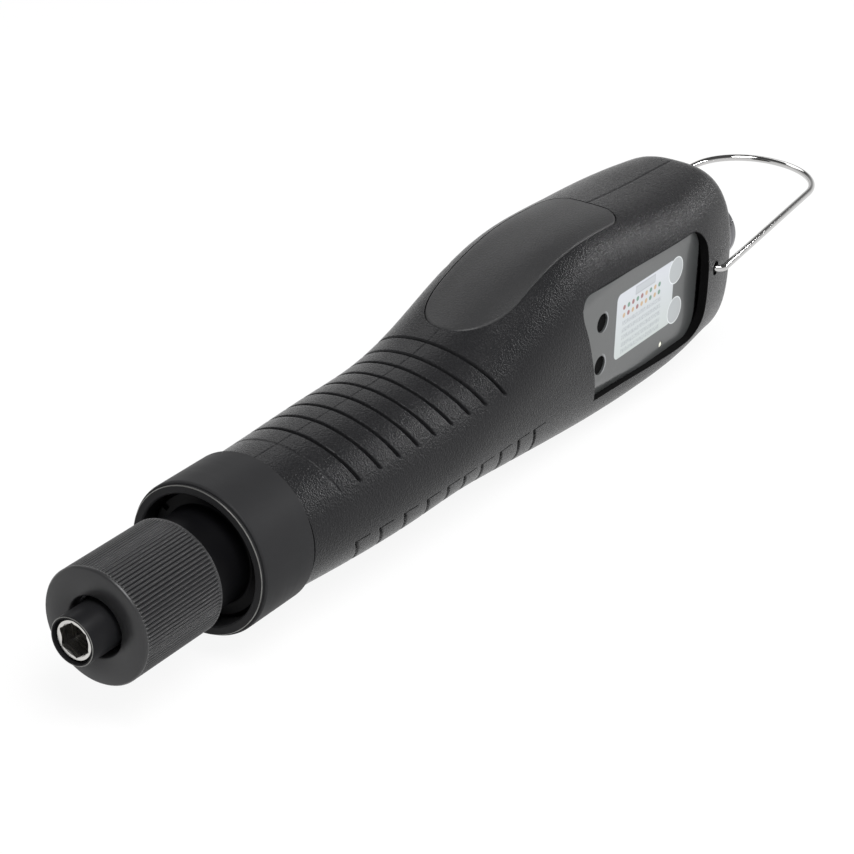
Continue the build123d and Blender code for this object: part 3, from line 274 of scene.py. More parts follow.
def panelFace():
    p = panelPrint
    f = Finish("panel print")
    x, y, z = f.axes()

    def away(cx, cz):
        dx, dz = x - cx, z - cz
        return (dx * dx + dz * dz).math("SQRT")

    def inCircle(cx, cz, radius):
        return (away(cx, cz) - radius).ramp(1, 0, -p["edge"], p["edge"])

    color = f.mix(f.noise(35, 2), shade(p["grey"], 0.93), shade(p["grey"], 1.07))
    tint = f.mix(z.ramp(0, 1, p["table"][2], p["table"][3]), p["tableLow"], p["tableHigh"])
    color = f.mix(f.rounded(x, z, *p["table"], p["corner"]), color, tint)
    for cx, cz in p["circles"]:
        color = f.mix(inCircle(cx, cz, p["circleR"]), color, p["circlePale"])
        color = f.mix(inCircle(cx, cz, p["circleR"] - p["circleLine"]), color, p["circleGrey"])
    # two rows of coloured dots on one pitch
    step = ((x - p["dotStart"]) / p["dotPitch"] + 0.5).math("FLOOR")
    local = x - p["dotStart"] - step * p["dotPitch"]
    inside = (step > -0.5) * (step < p["dots"] - 0.5)
    odd = (step * 0.5).math("FRACT") > 0.25
    for row, first, second in zip(p["dotRows"], ("red", "amber"), ("green", "red")):
        dz = z - row
        dot = ((local * local + dz * dz).math("SQRT") - p["dotR"]).ramp(0.9, 0, -0.1, 0.1) * inside
        tone = f.mix(step > 4.5, f.mix(odd, p[first], p[second]), f.mix(odd, p["green"], p["amber"]))
        color = f.mix(dot, color, tone)
    # rows of plain marks for the table's figures
    mark = ((x - p["dotStart"]) / p["figurePitch"]).math("FRACT") > 0.3
    end = p["dotStart"] + p["dotPitch"] * (p["dots"] - 0.4)
    mark = mark * (x > p["dotStart"] - p["dotR"]) * (x < end) * f.noise(2600, 1).ramp(0.1, 0.75, 0.35, 0.6)
    for row in p["figureRows"]:
        color = f.mix(mark * (abs(z - row) < p["figureHalf"]), color, p["figureInk"])
    color = f.mix(f.rounded(x, z, *p["boxOut"]) * 0.8, color, p["boxInk"])
    color = f.mix(f.rounded(x, z, *p["boxIn"]) * 0.9, color, p["boxPale"])
    # a pale arc beside each dial
    for cx, cz in p["dials"]:
        arc = (away(cx, cz) > p["arcIn"]) * (away(cx, cz) < p["arcOut"])
        color = f.mix(arc * (x - cx).ramp(0, 0.5, 0.5, 2.0), color, p["arcPale"])
    fine = f.noise(1500, 2)
    return f.set({"Base Color": color, "Roughness": fine.ramp(0.26, 0.34), "Coat Weight": 0.25,
                  "Normal": f.bump(fine, 0.05, 0.00005)})


panelGrey = panelFace()
print("materials made")


# Mesh helpers
def linked(name, bm):
    bmesh.ops.scale(bm, vec=(mm, mm, mm), verts=bm.verts)
    bmesh.ops.recalc_face_normals(bm, faces=bm.faces)
    mesh = bpy.data.meshes.new(name)
    bm.to_mesh(mesh)
    bm.free()
    item = bpy.data.objects.new(name, mesh)
    bpy.context.scene.collection.objects.link(item)
    return item


def shaded(piece, smoothBelow=32):
    bm = bmesh.new()
    bm.from_mesh(piece.data)
    for face in bm.faces:
        face.smooth = True
    for edge in bm.edges:
        edge.smooth = len(edge.link_faces) != 2 or edge.calc_face_angle(0) < radians(smoothBelow)
    bm.to_mesh(piece.data)
    bm.free()


def place(name, bm, material, body, *replaced, slot, cutters=(), smoothBelow=32):
    piece = linked(name, bm)
    apply(piece, "DIFFERENCE", cutters)
    shaded(piece, smoothBelow)
    piece.data.materials.clear()
    piece.data.materials.append(material)
    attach(piece, body)
    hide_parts(*replaced)
    return piece


def apply(piece, operation, others):
    # exact boolean with each of the others, which are then removed
    for other in others:
        modifier = piece.modifiers.new("cut", "BOOLEAN")
        modifier.operation, modifier.solver, modifier.object = operation, "MANIFOLD", other
    mesh = bpy.data.meshes.new_from_object(piece.evaluated_get(bpy.context.evaluated_depsgraph_get()))
    piece.modifiers.clear()
    old, piece.data = piece.data, mesh
    mesh.name = piece.name
    bpy.data.meshes.remove(old)
    for other in others:
        bpy.data.objects.remove(other)


def loopOf(bm, points, closed=True):
    verts = [bm.verts.new(p) for p in points]
    pairs = list(zip(verts, verts[1:])) + ([(verts[-1], verts[0])] if closed else [])
    return verts, [bm.edges.new(pair) for pair in pairs]


def soften(bm, offset, segments=2, above=30, where=None):
    sharp = [e for e in bm.edges if len(e.link_faces) == 2 and e.calc_face_angle(0) > radians(above)
             and (where is None or where(e))]
    bmesh.ops.bevel(bm, geom=sharp, offset=offset, segments=segments, affect="EDGES", profile=0.5, material=-1,
                    clamp_overlap=True)


def turnedSolid(outline, steps=160, bevel=0.0, segments=2):
    # outline: (x, radius) corners, turned about the tool's axis
    bm = bmesh.new()
    verts, edges = loopOf(bm, [(x, 0, r) for x, r in outline], outline[0][1] > 0)
    bmesh.ops.spin(bm, geom=verts + edges, cent=(0, 0, 0), axis=(1, 0, 0), dvec=(0, 0, 0), angle=tau,
                   steps=steps, use_merge=True, use_duplicate=False)
    bmesh.ops.remove_doubles(bm, verts=bm.verts, dist=0.0005)
    bmesh.ops.recalc_face_normals(bm, faces=bm.faces)
    if bevel:
        soften(bm, bevel, segments)
    return bm


def isVert(item):
    return isinstance(item, bmesh.types.BMVert)


def prismAlong(outline, axis, low, high, corners=(), segments=8):
    # outline across the axis: (x, z) for "y", (y, z) for "x"; corners: the radius of each corner, in order
    bm = bmesh.new()
    put = {"y": lambda a, b: (a, low, b), "x": lambda a, b: (low, a, b)}[axis]
    step = {"y": (0, high - low, 0), "x": (high - low, 0, 0)}[axis]
    verts, edges = loopOf(bm, [put(a, b) for a, b in outline])
    moved = bmesh.ops.extrude_face_region(bm, geom=[bm.faces.new(verts)])
    bmesh.ops.translate(bm, vec=step, verts=[g for g in moved["geom"] if isVert(g)])
    bmesh.ops.recalc_face_normals(bm, faces=bm.faces)
    for (a, b), radius in zip(outline, corners):
        foot = Vector(put(a, b))
        upright = [e for e in bm.edges if all((v.co - foot).cross(Vector(step)).length < 0.01 for v in e.verts)]
        bmesh.ops.bevel(bm, geom=upright, offset=radius, segments=segments, affect="EDGES", profile=0.5,
                        material=-1)
    return bm


def crossCylinder(x, z, y0, y1, radius, steps=48):
    bm = bmesh.new()
    bmesh.ops.create_cone(bm, cap_ends=True, segments=steps, radius1=radius, radius2=radius, depth=abs(y1 - y0))
    bmesh.ops.rotate(bm, cent=(0, 0, 0), matrix=Matrix.Rotation(pi / 2, 3, "X"), verts=bm.verts)
    bmesh.ops.translate(bm, vec=(x, (y0 + y1) / 2, z), verts=bm.verts)
    return bm


def gridSolid(columns, rows, point):
    # a closed sheet: point(i, j, 0) on its outer face and point(i, j, 1) on its inner one
    bm = bmesh.new()
    bmesh.ops.create_grid(bm, x_segments=columns, y_segments=rows, size=1)
    copy = bmesh.ops.duplicate(bm, geom=bm.verts[:] + bm.edges[:] + bm.faces[:])["geom"]
    bmesh.ops.translate(bm, vec=(0, 0, 0.001), verts=[g for g in copy if isVert(g)])
    bmesh.ops.bridge_loops(bm, edges=[e for e in bm.edges if e.is_boundary])
    for v in bm.verts:
        v.co = point(round((v.co.x + 1) / 2 * columns), round((v.co.y + 1) / 2 * rows), int(v.co.z > 0.0005))
    bmesh.ops.recalc_face_normals(bm, faces=bm.faces)
    return bm


# The body's form, in the same sections as the solid's
body = {
    "x": (53.9, 72.0, 92.0, 111.0, 125.0, 140.0, 156.0, 171.0, 186.0, 201.0, 216.0, 232.1),
    "halfWidth": (16.3, 17.5, 18.4, 18.8, 18.7, 18.9, 19.1, 19.5, 20.6, 21.2, 19.5, 15.6),
    "top": (14.8, 14.9, 15.2, 16.0, 19.2, 24.6, 28.3, 28.5, 27.4, 26.4, 25.9, 25.2),
    "bottom": (-15.0, -16.2, -16.9, -17.1, -18.1, -19.4, -20.5, -20.9, -20.4, -19.2, -18.5, -21.0),
    "square": (2.0, 2.0, 2.0, 2.0, 2.2, 2.4, 2.6, 2.75, 2.75, 2.75, 2.75, 2.75),
    "tailRound": 9.0, "wall": 2.2, "neckR": 14.6, "neckX": 46.0, "neckWall": 1.0, "socketHole": 6.1,
    "bossR": 9.6, "bossX": 232.4, "seam": 0.14, "seamWidth": 0.22, "seamFrom": 180.0, "seamFaint": 0.09, "tailSteps": 10, "tailFlat": 3,
    "rowsTop": 34, "rowsSide": 16, "rowsBelly": 30,
}


def naturalSpline(xs, ys):
    n = len(xs)
    second, u = [0.0] * n, [0.0] * n
    for i in range(1, n - 1):
        sig = (xs[i] - xs[i - 1]) / (xs[i + 1] - xs[i - 1])
        p = sig * second[i - 1] + 2
        second[i] = (sig - 1) / p
        slope = (ys[i + 1] - ys[i]) / (xs[i + 1] - xs[i]) - (ys[i] - ys[i - 1]) / (xs[i] - xs[i - 1])
        u[i] = (6 * slope / (xs[i + 1] - xs[i - 1]) - sig * u[i - 1]) / p
    for i in range(n - 2, -1, -1):
        second[i] = second[i] * second[i + 1] + u[i]

    def at(x):
        x = min(max(x, xs[0]), xs[-1])
        i = max(j for j in range(n - 1) if xs[j] <= x or j == 0)
        h = xs[i + 1] - xs[i]
        a, b = (xs[i + 1] - x) / h, (x - xs[i]) / h
        return a * ys[i] + b * ys[i + 1] + ((a ** 3 - a) * second[i] + (b ** 3 - b) * second[i + 1]) * h * h / 6
    return at


formOf = {key: naturalSpline(body["x"], body[key]) for key in ("halfWidth", "top", "bottom", "square")}
sectionCache = {}


def sectionAt(x):
    key = round(x, 3)
    if key not in sectionCache:
        top, bottom = formOf["top"](x), formOf["bottom"](x)
        sectionCache[key] = (formOf["halfWidth"](x), (top + bottom) / 2, (top - bottom) / 2, formOf["square"](x))
    return sectionCache[key]


def onSection(x, angle):
    # point and outward normal across X, at a polar angle about the section's middle
    w, middle, h, n = sectionAt(x)
    c, s = cos(angle), sin(angle)
    away = ((abs(c) / w) ** n + (abs(s) / h) ** n) ** (-1 / n)
    y, z = away * c, away * s
    ny = (abs(y) / w) ** (n - 1) / w * (1 if y >= 0 else -1)
    nz = (abs(z) / h) ** (n - 1) / h * (1 if z >= 0 else -1)
    size = sqrt(ny * ny + nz * nz) or 1
    return y, middle + z, ny / size, nz / size


def skinHeight(x, y):
    w, middle, h, n = sectionAt(x)
    return middle + h * (1 - min(1, abs(y) / w) ** n) ** (1 / n)


def skinWidth(x, z):
    w, middle, h, n = sectionAt(x)
    return w * (1 - min(1, abs(z - middle) / h) ** n) ** (1 / n)


def angleAtHeight(x, z):
    return atan2(z - sectionAt(x)[1], skinWidth(x, z))


# The grip: leaning grooves above, steps below
grip = {
    "grooveX": (64.9, 71.3, 78.1, 84.5, 90.9, 97.0, 103.2, 109.4, 115.2, 121.9),
    "bellyX": (67.3, 75.2, 83.5, 91.6, 99.1, 105.4, 112.2, 119.8, 127.1, 133.6),
    "grooveEnd": 7.4, "bellyEnd": (-3.8, -5.4), "slope": (0.27, 0.52), "bellySlope": 0.577, "fade": 0.7,
    "bellyLine": 4.6, "lineWidth": 0.26, "lineDepth": 0.3,
    "profile": ((-0.95, 0.0), (-0.62, 0.02), (-0.48, 0.14), (-0.39, 0.5), (-0.27, 1.05), (0.27, 1.05), (0.39, 0.5),
                (0.48, 0.14), (0.62, 0.02), (0.95, 0.0)),
    "firstDepth": 0.12, "front": (53.9, 54.1, 55.0, 57.0, 59.5, 62.0), "rear": 150.0, "rearSteps": 10,
    "tailSteps": 32,
}


def ringPlan():
    # each ring of the skin: x at the grooves' ends, x at the belly steps' ends, slopes and depths
    g = grip
    count = len(g["grooveX"])
    rings = []
    for x in g["front"]:
        lean = (x - g["front"][0]) / 10
        rings.append((x, x, g["slope"][0] * lean, g["bellySlope"] * lean, 0.0, 0.0))
    lastTop = lastBelly = g["front"][-1]
    half = g["profile"][-1][0]
    for i, (top, belly) in enumerate(zip(g["grooveX"], g["bellyX"])):
        slope = g["slope"][0] + (g["slope"][1] - g["slope"][0]) * i / (count - 1)
        for j in (1, 2, 3):
            rings.append((lastTop + (top - half - lastTop) * j / 4, lastBelly + (belly - half - lastBelly) * j / 4,
                          slope, g["bellySlope"], 0.0, 0.0))
        for offset, depth in g["profile"]:
            share = g["firstDepth"] if i == 0 else 1.0
            rings.append((top + offset, belly + offset, slope, g["bellySlope"], depth * share, depth))
        lastTop, lastBelly = top + half, belly + half
    for j in range(1, g["rearSteps"] + 1):
        t = j / g["rearSteps"]
        rings.append((lastTop + (g["rear"] - lastTop) * t, lastBelly + (g["rear"] - lastBelly) * t,
                      g["slope"][1] * (1 - t), g["bellySlope"] * (1 - t), 0.0, 0.0))
    end = body["x"][-1] - body["tailRound"]
    for j in range(1, g["tailSteps"] + 1):
        x = g["rear"] + (end - g["rear"]) * j / g["tailSteps"]
        rings.append((x, x, 0.0, 0.0, 0.0, 0.0))
    return rings


def bellyEndAt(x):
    first, last = grip["bellyX"][0], grip["bellyX"][-1]
    high, low = grip["bellyEnd"]
    return high + (low - high) * min(max((x - first) / (last - first), 0.0), 1.0)


def smoothStep(t):
    t = min(max(t, 0.0), 1.0)
    return t * t * (3 - 2 * t)


def rowEase(t):
    # closer rows at the seam and at the grooves' ends
    return t - 0.1 * sin(tau * t)


def skinPoint(ring, row, side, inset):
    # a point of one half's skin; row runs from the top seam, 0, to the bottom seam
    b, g = body, grip
    xTop, xBelly, slope, bellySlope, depth, bellyDepth = ring
    top, belly, last = b["rowsTop"], b["rowsTop"] + b["rowsSide"], b["rowsTop"] + b["rowsSide"] + b["rowsBelly"]
    bellyEnd = bellyEndAt(xBelly)
    if row <= top:
        x = xTop
        for _ in range(4):
            low = angleAtHeight(x, g["grooveEnd"])
            y, z, ny, nz = onSection(x, pi / 2 + (low - pi / 2) * rowEase(row / top))
            x = xTop - slope * (z - g["grooveEnd"])
        dip = depth * smoothStep((z - g["grooveEnd"]) / g["fade"])
    elif row < belly:
        t = (row - top) / b["rowsSide"]
        x = xTop + (xBelly - xTop) * t
        high, low = angleAtHeight(x, g["grooveEnd"]), angleAtHeight(x, bellyEnd)
        y, z, ny, nz = onSection(x, high + (low - high) * t)
        dip = 0.0
    else:
        x = xBelly
        for _ in range(4):
            high = angleAtHeight(x, bellyEnd)
            y, z, ny, nz = onSection(x, -pi / 2 + (high + pi / 2) * rowEase((last - row) / b["rowsBelly"]))
            x = xBelly - bellySlope * (z - bellyEnd)
        dip = bellyDepth * smoothStep((bellyEnd - z) / g["fade"])
    parting = b["seam"] if x > b["seamFrom"] or row > belly else b["seamFaint"]
    drop = inset if inset else dip + parting * (1 - smoothStep(y / b["seamWidth"]))
    least = 0.0 if row in (0, last) else 0.02
    return x, side * max(y - ny * drop, least), z - nz * drop


def skinPlan():
    b = body
    tailX = b["x"][-1]
    plan = [("neck", b["neckX"], b["neckR"]), ("neck", b["x"][0], b["neckR"])]
    plan += [("ring", ring, 0.0) for ring in ringPlan()]
    for i in range(1, b["tailSteps"] + 1):
        turn = pi / 2 * i / b["tailSteps"]
        plan.append(("tail", tailX - b["tailRound"] * (1 - sin(turn)), b["tailRound"] * (1 - cos(turn))))
    plan += [("end", tailX, i / b["tailFlat"]) for i in range(1, b["tailFlat"] + 1)]
    return plan + [("neck", b["bossX"], b["bossR"]), ("neck", b["bossX"], b["socketHole"])]


def halfSkin(side):
    b = body
    plan = skinPlan()
    rows = b["rowsTop"] + b["rowsSide"] + b["rowsBelly"]
    tailX = b["x"][-1]

    def point(i, row, layer):
        kind, first, second = plan[i]
        turn = pi / 2 - pi * row / rows
        if kind == "neck":
            radius = second - (b["neckWall"] if layer and first < tailX else 0.0)
            x = first - (b["wall"] if layer and first > tailX else 0.0)
            return x, side * max(radius * cos(turn), 0.0), radius * sin(turn)
        if kind == "ring":
            return skinPoint(first, row, side, b["wall"] if layer else 0.0)
        x = first
        near = (x if kind == "tail" else tailX - b["tailRound"],) * 2 + (0.0,) * 4
        edge = skinPoint(near, row, 1, 0)
        y, z, ny, nz = onSection(min(x, tailX), atan2(edge[2] - sectionAt(x)[1], max(edge[1], 1e-6)))
        inward = b["tailRound"] if kind == "end" else second
        if layer:
            kept = 1 - b["wall"] / b["tailRound"]
            inward = b["wall"] + inward * kept
            x = tailX - b["wall"] - (tailX - x) * kept
        y, z = max(y - ny * inward, 0.0), z - nz * inward
        if kind == "end":
            y, z = y + (b["bossR"] * cos(turn) - y) * second, z + (b["bossR"] * sin(turn) - z) * second
        return x, (0.0 if row in (0, rows) else side * y), z
    return gridSolid(len(plan) - 1, rows, point)


print("form ready")


# The thumb pad, flush in the top of the body
pad = {"front": 122.0, "nose": 16.0, "rear": 183.4, "halfWidth": 10.1, "corner": 6.0, "thick": 1.5, "gap": 0.15,
       "depth": 1.55, "above": 8.0, "roll": 0.4, "noseSteps": 22, "bodySteps": 26, "cornerSteps": 12, "across": 40}


def padSolid(grow, lift, depth, roll):
    # from lift above the skin to depth below it, its upper edge rolled over
    p = pad
    middle, half, nose = p["front"] + p["nose"], p["halfWidth"] + grow, p["nose"] + grow
    straightEnd = p["rear"] + grow - p["corner"]
    xs = [middle - nose * cos(0.04 + (pi / 2 - 0.04) * i / p["noseSteps"]) for i in range(p["noseSteps"] + 1)]
    xs += [middle + (straightEnd - middle) * i / p["bodySteps"] for i in range(1, p["bodySteps"] + 1)]
    xs += [straightEnd + p["corner"] * sin(pi / 2 * i / p["cornerSteps"]) for i in range(1, p["cornerSteps"] + 1)]

    def halfAt(x):
        if x < middle:
            return half * sqrt(max(0.0, 1 - ((middle - x) / nose) ** 2))
        past = max(0.0, x - straightEnd)
        return half - p["corner"] + sqrt(max(0.0, p["corner"] ** 2 - past ** 2))

    def point(i, j, layer):
        x = xs[i]
        y = halfAt(x) * sin(pi / 2 * (2 * j / p["across"] - 1))
        z = skinHeight(x, y)
        if layer:
            return x, y, z - depth
        inside = half * (1 - sqrt(((middle - x) / nose) ** 2 + (y / half) ** 2)) if x < middle else halfAt(x) - abs(y)
        inside = max(0.0, min(inside, p["rear"] + grow - x))
        fall = roll - sqrt(max(0.0, roll ** 2 - max(0.0, roll - inside) ** 2)) if roll else 0.0
        return x, y, z + lift - fall
    return gridSolid(len(xs) - 1, p["across"], point)


# The side panel: its recess, its backing and the thin label in it
panel = {"corners": ((150.9, 18.6), (207.4, 18.6), (207.4, -9.2), (160.2, -9.2)), "rounds": (6.5, 6.0, 6.0, 1.2),
         "floor": -17.1, "face": -17.6, "gap": 0.15, "thick": 0.45, "proud": 0.05, "sunk": -0.45, "backing": 1.6,
         "backEdge": 1.4, "away": 30.0, "lowDrop": 1.5, "lowFrom": -1.0, "lowSpan": 8.0,
         "span": (146.0, 211.0, -12.0, 21.0), "columns": 60, "rows": 36, "dialHole": 2.3, "lampHole": 0.85,
         "dials": ((162.2, 9.6), (162.2, -1.0)), "lamp": (191.4, -6.8)}


def panelPrism(y0, y1, grow):
    # the outline grown at its sides, its corners in the order front top, rear top, rear bottom, front bottom
    signs = ((-1, 1), (1, 1), (1, -1), (-1, -1))
    outline = [(x + sx * grow, z + sz * grow) for (x, z), (sx, sz) in zip(panel["corners"], signs)]
    return prismAlong(outline, "y", y0, y1, [r + grow for r in panel["rounds"]])


def bentSheet(name, face, proud, thick, grow):
    # flat in the recess, and bent to the body where the body lies further in, within the panel's outline
    p = panel
    x0, x1, z0, z1 = p["span"]

    def point(i, j, layer):
        x, z = x0 + (x1 - x0) * i / p["columns"], z0 + (z1 - z0) * j / p["rows"]
        low = p["lowDrop"] * smoothStep((p["lowFrom"] - z) / p["lowSpan"])
        y = -min(-face, skinWidth(x, z) + proud - low)
        return x, y + (thick if layer else 0.0), z
    sheet = linked(name, gridSolid(p["columns"], p["rows"], point))
    apply(sheet, "INTERSECT", [linked("cutter", panelPrism(-60, 0, grow))])
    return sheet


def taken(*items):
    # the items' meshes as one bmesh in millimetres; the items are removed
    bm = bmesh.new()
    for item in items:
        bm.from_mesh(item.data)
        bpy.data.objects.remove(item)
    bmesh.ops.scale(bm, vec=(1 / mm,) * 3, verts=bm.verts)
    return bm


# Holes in the far side: the screws' counterbores and the direction switch's well
farSide = {"screws": ((119.0, -9.5), (146.5, 19.0), (146.5, -14.5), (214.5, 16.0), (210.0, -13.2)), "boreR": 2.6,
           "seat": 6.0, "bossR": 3.9, "bossFrom": 0.3, "bossShort": 1.0, "well": (190.0, 4.0, 14.0, 9.0), "wellY": 17.2,
           "wellWall": 1.8, "wellCorner": 0.8, "slot": (6.6, 2.6), "bail": (212.2, 6.4), "bailHole": 0.9,
           "notchR": 1.8, "notchY": 18.8}


def rectangle(x, z, length, height):
    return [(x + sx * length / 2, z + sz * height / 2) for sx, sz in ((-1, 1), (1, 1), (1, -1), (-1, -1))]


def bailCuts(side):
    f = farSide
    x, z = f["bail"]
    return [linked("cutter", crossCylinder(x, z, side * 10, side * 30, f["bailHole"])),
            linked("cutter", crossCylinder(x, z, side * f["notchY"], side * 30, f["notchR"]))]


def bellyLines(side):
    # thin lines running back from the belly marks' corners
    g = grip
    lines = []
    for x in g["bellyX"]:
        z, y = bellyEndAt(x) - 0.3, skinWidth(x, bellyEndAt(x)) - g["lineDepth"]
        outline = [(x, z), (x + g["bellyLine"], z), (x + g["bellyLine"], z + g["lineWidth"]), (x, z + g["lineWidth"])]
        lines.append(linked("cutter", prismAlong(outline, "y", side * y, side * (y + 5))))
    return lines


def padCut():
    return linked("cutter", padSolid(pad["gap"], pad["above"], pad["depth"], 0))


def panelCut():
    # the recess: all that stands outside the sheet's floor
    p = panel
    return bentSheet("cutter", p["floor"], p["sunk"], -p["away"], 0)


leftShell = place("left_grip_shell", halfSkin(-1), shellPlastic, "housing", "left_shell", slot="shell_plastic",
                  cutters=[padCut(), panelCut()] + bailCuts(-1) + bellyLines(-1))
print("left shell made", len(leftShell.data.polygons))


def rightShellCuts():
    f = farSide
    x, z, length, height = f["well"]
    bores = [linked("cutter", crossCylinder(bx, bz, f["seat"], 40, f["boreR"])) for bx, bz in f["screws"]]
    well = linked("cutter", prismAlong(rectangle(x, z, length, height), "y", f["wellY"], 40, [f["wellCorner"]] * 4))
    return [padCut(), well] + bores + bailCuts(1) + bellyLines(1)


rightShell = place("right_grip_shell", halfSkin(1), shellPlastic, "housing", "right_shell", slot="shell_plastic",
                   cutters=rightShellCuts())
print("right shell made", len(rightShell.data.polygons))


def rightInsides():
    # the screws' bosses and the floor of the switch's well, inside the right shell
    f = farSide
    x, z, length, height = f["well"]
    floor = linked("well floor", prismAlong(rectangle(x, z, length + 3, height + 3), "y", f["wellY"] - f["wellWall"],
                                            f["wellY"], [f["wellCorner"]] * 4))
    apply(floor, "DIFFERENCE", [linked("cutter", prismAlong(rectangle(x, z, *f["slot"]), "y", 0, 30))])
    bosses = []
    for bx, bz in f["screws"]:
        end = min(skinWidth(bx, bz + f["bossR"] * share) for share in (-1, 0, 1)) - f["bossShort"]
        boss = linked("boss", crossCylinder(bx, bz, f["bossFrom"], end, f["bossR"]))
        apply(boss, "DIFFERENCE", [linked("cutter", crossCylinder(bx, bz, f["seat"], 40, f["boreR"])),
                                   linked("cutter", crossCylinder(bx, bz, -1, 40, 1.35))])
        bosses.append(boss)
    return taken(floor, *bosses)


place("right_shell_bosses", rightInsides(), shellPlastic, "housing", "right_shell", slot="shell_plastic")
place("panel_backing", taken(bentSheet("backing", panel["floor"] + 0.02, panel["sunk"] - 0.02, panel["backing"],
                                       panel["backEdge"])),
      shellPlastic, "housing", "left_shell", slot="shell_plastic",
      cutters=[linked("cutter", crossCylinder(x, z, -30, 0, panel["dialHole"])) for x, z in panel["dials"]])
place("thumb_pad_cap", padSolid(0, 0.0, pad["thick"], pad["roll"]), padPlastic, "housing", "thumb_pad",
      slot="pad_plastic")


place("panel_foil", taken(bentSheet("foil", panel["face"], panel["proud"], panel["thick"], -panel["gap"])), panelGrey, "housing", "panel_label", slot="label_plastic",
      cutters=[linked("cutter", crossCylinder(x, z, -30, 0, panel["dialHole"])) for x, z in panel["dials"]]
      + [linked("cutter", crossCylinder(*panel["lamp"], -30, 0, panel["lampHole"]))])
print("pad and panel made")


# The bit holder, its sleeve and the torque ring
nose = {"holderR": 4.2, "face": 0.66, "edge": 0.12, "flats": 6.45, "turn": 23.0, "leadIn": 0.22, "depth": 14.4, "flange": 17.2,
        "flangeR": 5.4, "flangeWidth": 1.8, "shoulder": 24.0, "neckR": 2.5, "neckEnd": 41.3, "drive": 4.2,
        "driveEnd": 45.5, "snapX": 2.6, "snapWidth": 0.6, "snapDepth": 0.25, "sleeveR": 5.2, "sleeveBore": 4.3,
        "rimR": 4.65, "sleeveEnd": 14.5, "reliefR": 4.8, "chamber": 10.0, "relief": (4.7, 6.3), "step": 3.22}


def hexagon(flats, turn):
    corner = flats / 2 / cos(pi / 6)
    return [(corner * cos(radians(turn) + i * pi / 3), corner * sin(radians(turn) + i * pi / 3)) for i in range(6)]


def holder():
    n = nose
    snapEnd = n["snapX"] + n["snapWidth"]
    snapR = n["holderR"] - n["snapDepth"]
    flangeEnd = n["flange"] + n["flangeWidth"]
    r, edge = n["holderR"], n["edge"]
    return turnedSolid([
        (n["face"], 0), (n["face"], r - edge), (n["face"] + edge, r), (n["snapX"], r), (n["snapX"], snapR),
        (snapEnd, snapR), (snapEnd, r), (n["flange"], r), (n["flange"], n["flangeR"] - edge),
        (n["flange"] + edge, n["flangeR"]), (flangeEnd - edge, n["flangeR"]), (flangeEnd, n["flangeR"] - edge),
        (flangeEnd, r), (n["shoulder"] - edge, r), (n["shoulder"], r - edge), (n["shoulder"], n["neckR"]),
        (n["neckEnd"], n["neckR"]), (n["neckEnd"], 0)], 96)


def holderCuts():
    n = nose
    front = n["face"] - 1
    lead = n["flats"] / 2 + n["leadIn"]
    cone = turnedSolid([(front, 0), (front, lead + 1), (n["face"] + lead, 0)], 96)
    hole = prismAlong(hexagon(n["flats"], n["turn"]), "x", front, n["face"] + n["depth"])
    return [linked("cutter", cone), linked("cutter", hole)]


def sleeve():
    n = nose
    x0, x1 = n["relief"]
    return turnedSolid([
        (0, n["rimR"]), (0, n["sleeveR"] - 0.3), (0.1, n["sleeveR"] - 0.12), (0.3, n["sleeveR"]),
        (n["sleeveEnd"] - 0.3, n["sleeveR"]), (n["sleeveEnd"], n["sleeveR"] - 0.3), (n["sleeveEnd"], n["reliefR"]),
        (n["chamber"], n["reliefR"]), (n["chamber"], n["sleeveBore"]), (x1, n["sleeveBore"]), (x1, n["reliefR"]),
        (x0, n["reliefR"]), (x0, n["sleeveBore"]), (n["step"], n["sleeveBore"]), (n["step"], n["rimR"])], 128)


place("bit_holder_turned", holder(), holderSteel, "spindle", "bit_holder", slot="holder_steel",
      cutters=holderCuts())
place("bit_holder_drive", prismAlong(hexagon(nose["drive"], 0), "x", nose["neckEnd"], nose["driveEnd"]),
      holderSteel, "spindle", "bit_holder", slot="holder_steel")
place("sleeve_turned", sleeve(), sleeveBlack, "quick_release_sleeve", "quick_release_sleeve", slot="sleeve_steel")

knurl = {"front": 6.4, "rear": 29.7, "radius": 12.3, "bore": 10.6, "mouth": 6.3, "faceWall": 3.0, "ridges": 92,
         "steps": 8, "depth": 0.45, "from": 7.1, "to": 29.1, "runOut": 0.35, "edge": 0.5, "mouthEdge": 0.35}


def knurledRing():
    # straight ridges with rounded crests, sunk into a turned ring
    k = knurl
    span = k["to"] - k["from"]
    steps = [k["from"] + k["runOut"], k["from"] + 2 * k["runOut"]]
    steps += [k["from"] + span * i / 6 for i in range(1, 6)] + [k["to"] - 2 * k["runOut"], k["to"] - k["runOut"]]
    outer = [(k["front"], k["radius"] - k["edge"]), (k["front"] + 0.15, k["radius"] - 0.25),
             (k["front"] + k["edge"], k["radius"]), (k["from"], k["radius"])]
    outer += [(x, k["radius"]) for x in steps]
    outer += [(k["to"], k["radius"]), (k["rear"] - k["edge"] * 0.8, k["radius"]), (k["rear"], k["radius"] - k["edge"])]
    inner = [(k["rear"], k["bore"]), (k["front"] + k["faceWall"], k["bore"]), (k["front"] + k["faceWall"], k["mouth"]),
             (k["front"] + k["mouthEdge"], k["mouth"]), (k["front"], k["mouth"] + k["mouthEdge"])]
    bm = turnedSolid(outer + inner, k["ridges"] * k["steps"])
    for v in bm.verts:
        radius = sqrt(v.co.y ** 2 + v.co.z ** 2)
        run = min(v.co.x - k["from"], k["to"] - v.co.x) / k["runOut"]
        if radius > k["radius"] - 0.01 and run > 0:
            wave = abs(cos(k["ridges"] * atan2(v.co.z, v.co.y) / 2)) ** 0.8
            sink = 1 - k["depth"] * (1 - wave) * smoothStep(run) / radius
            v.co.y, v.co.z = v.co.y * sink, v.co.z * sink
    return bm


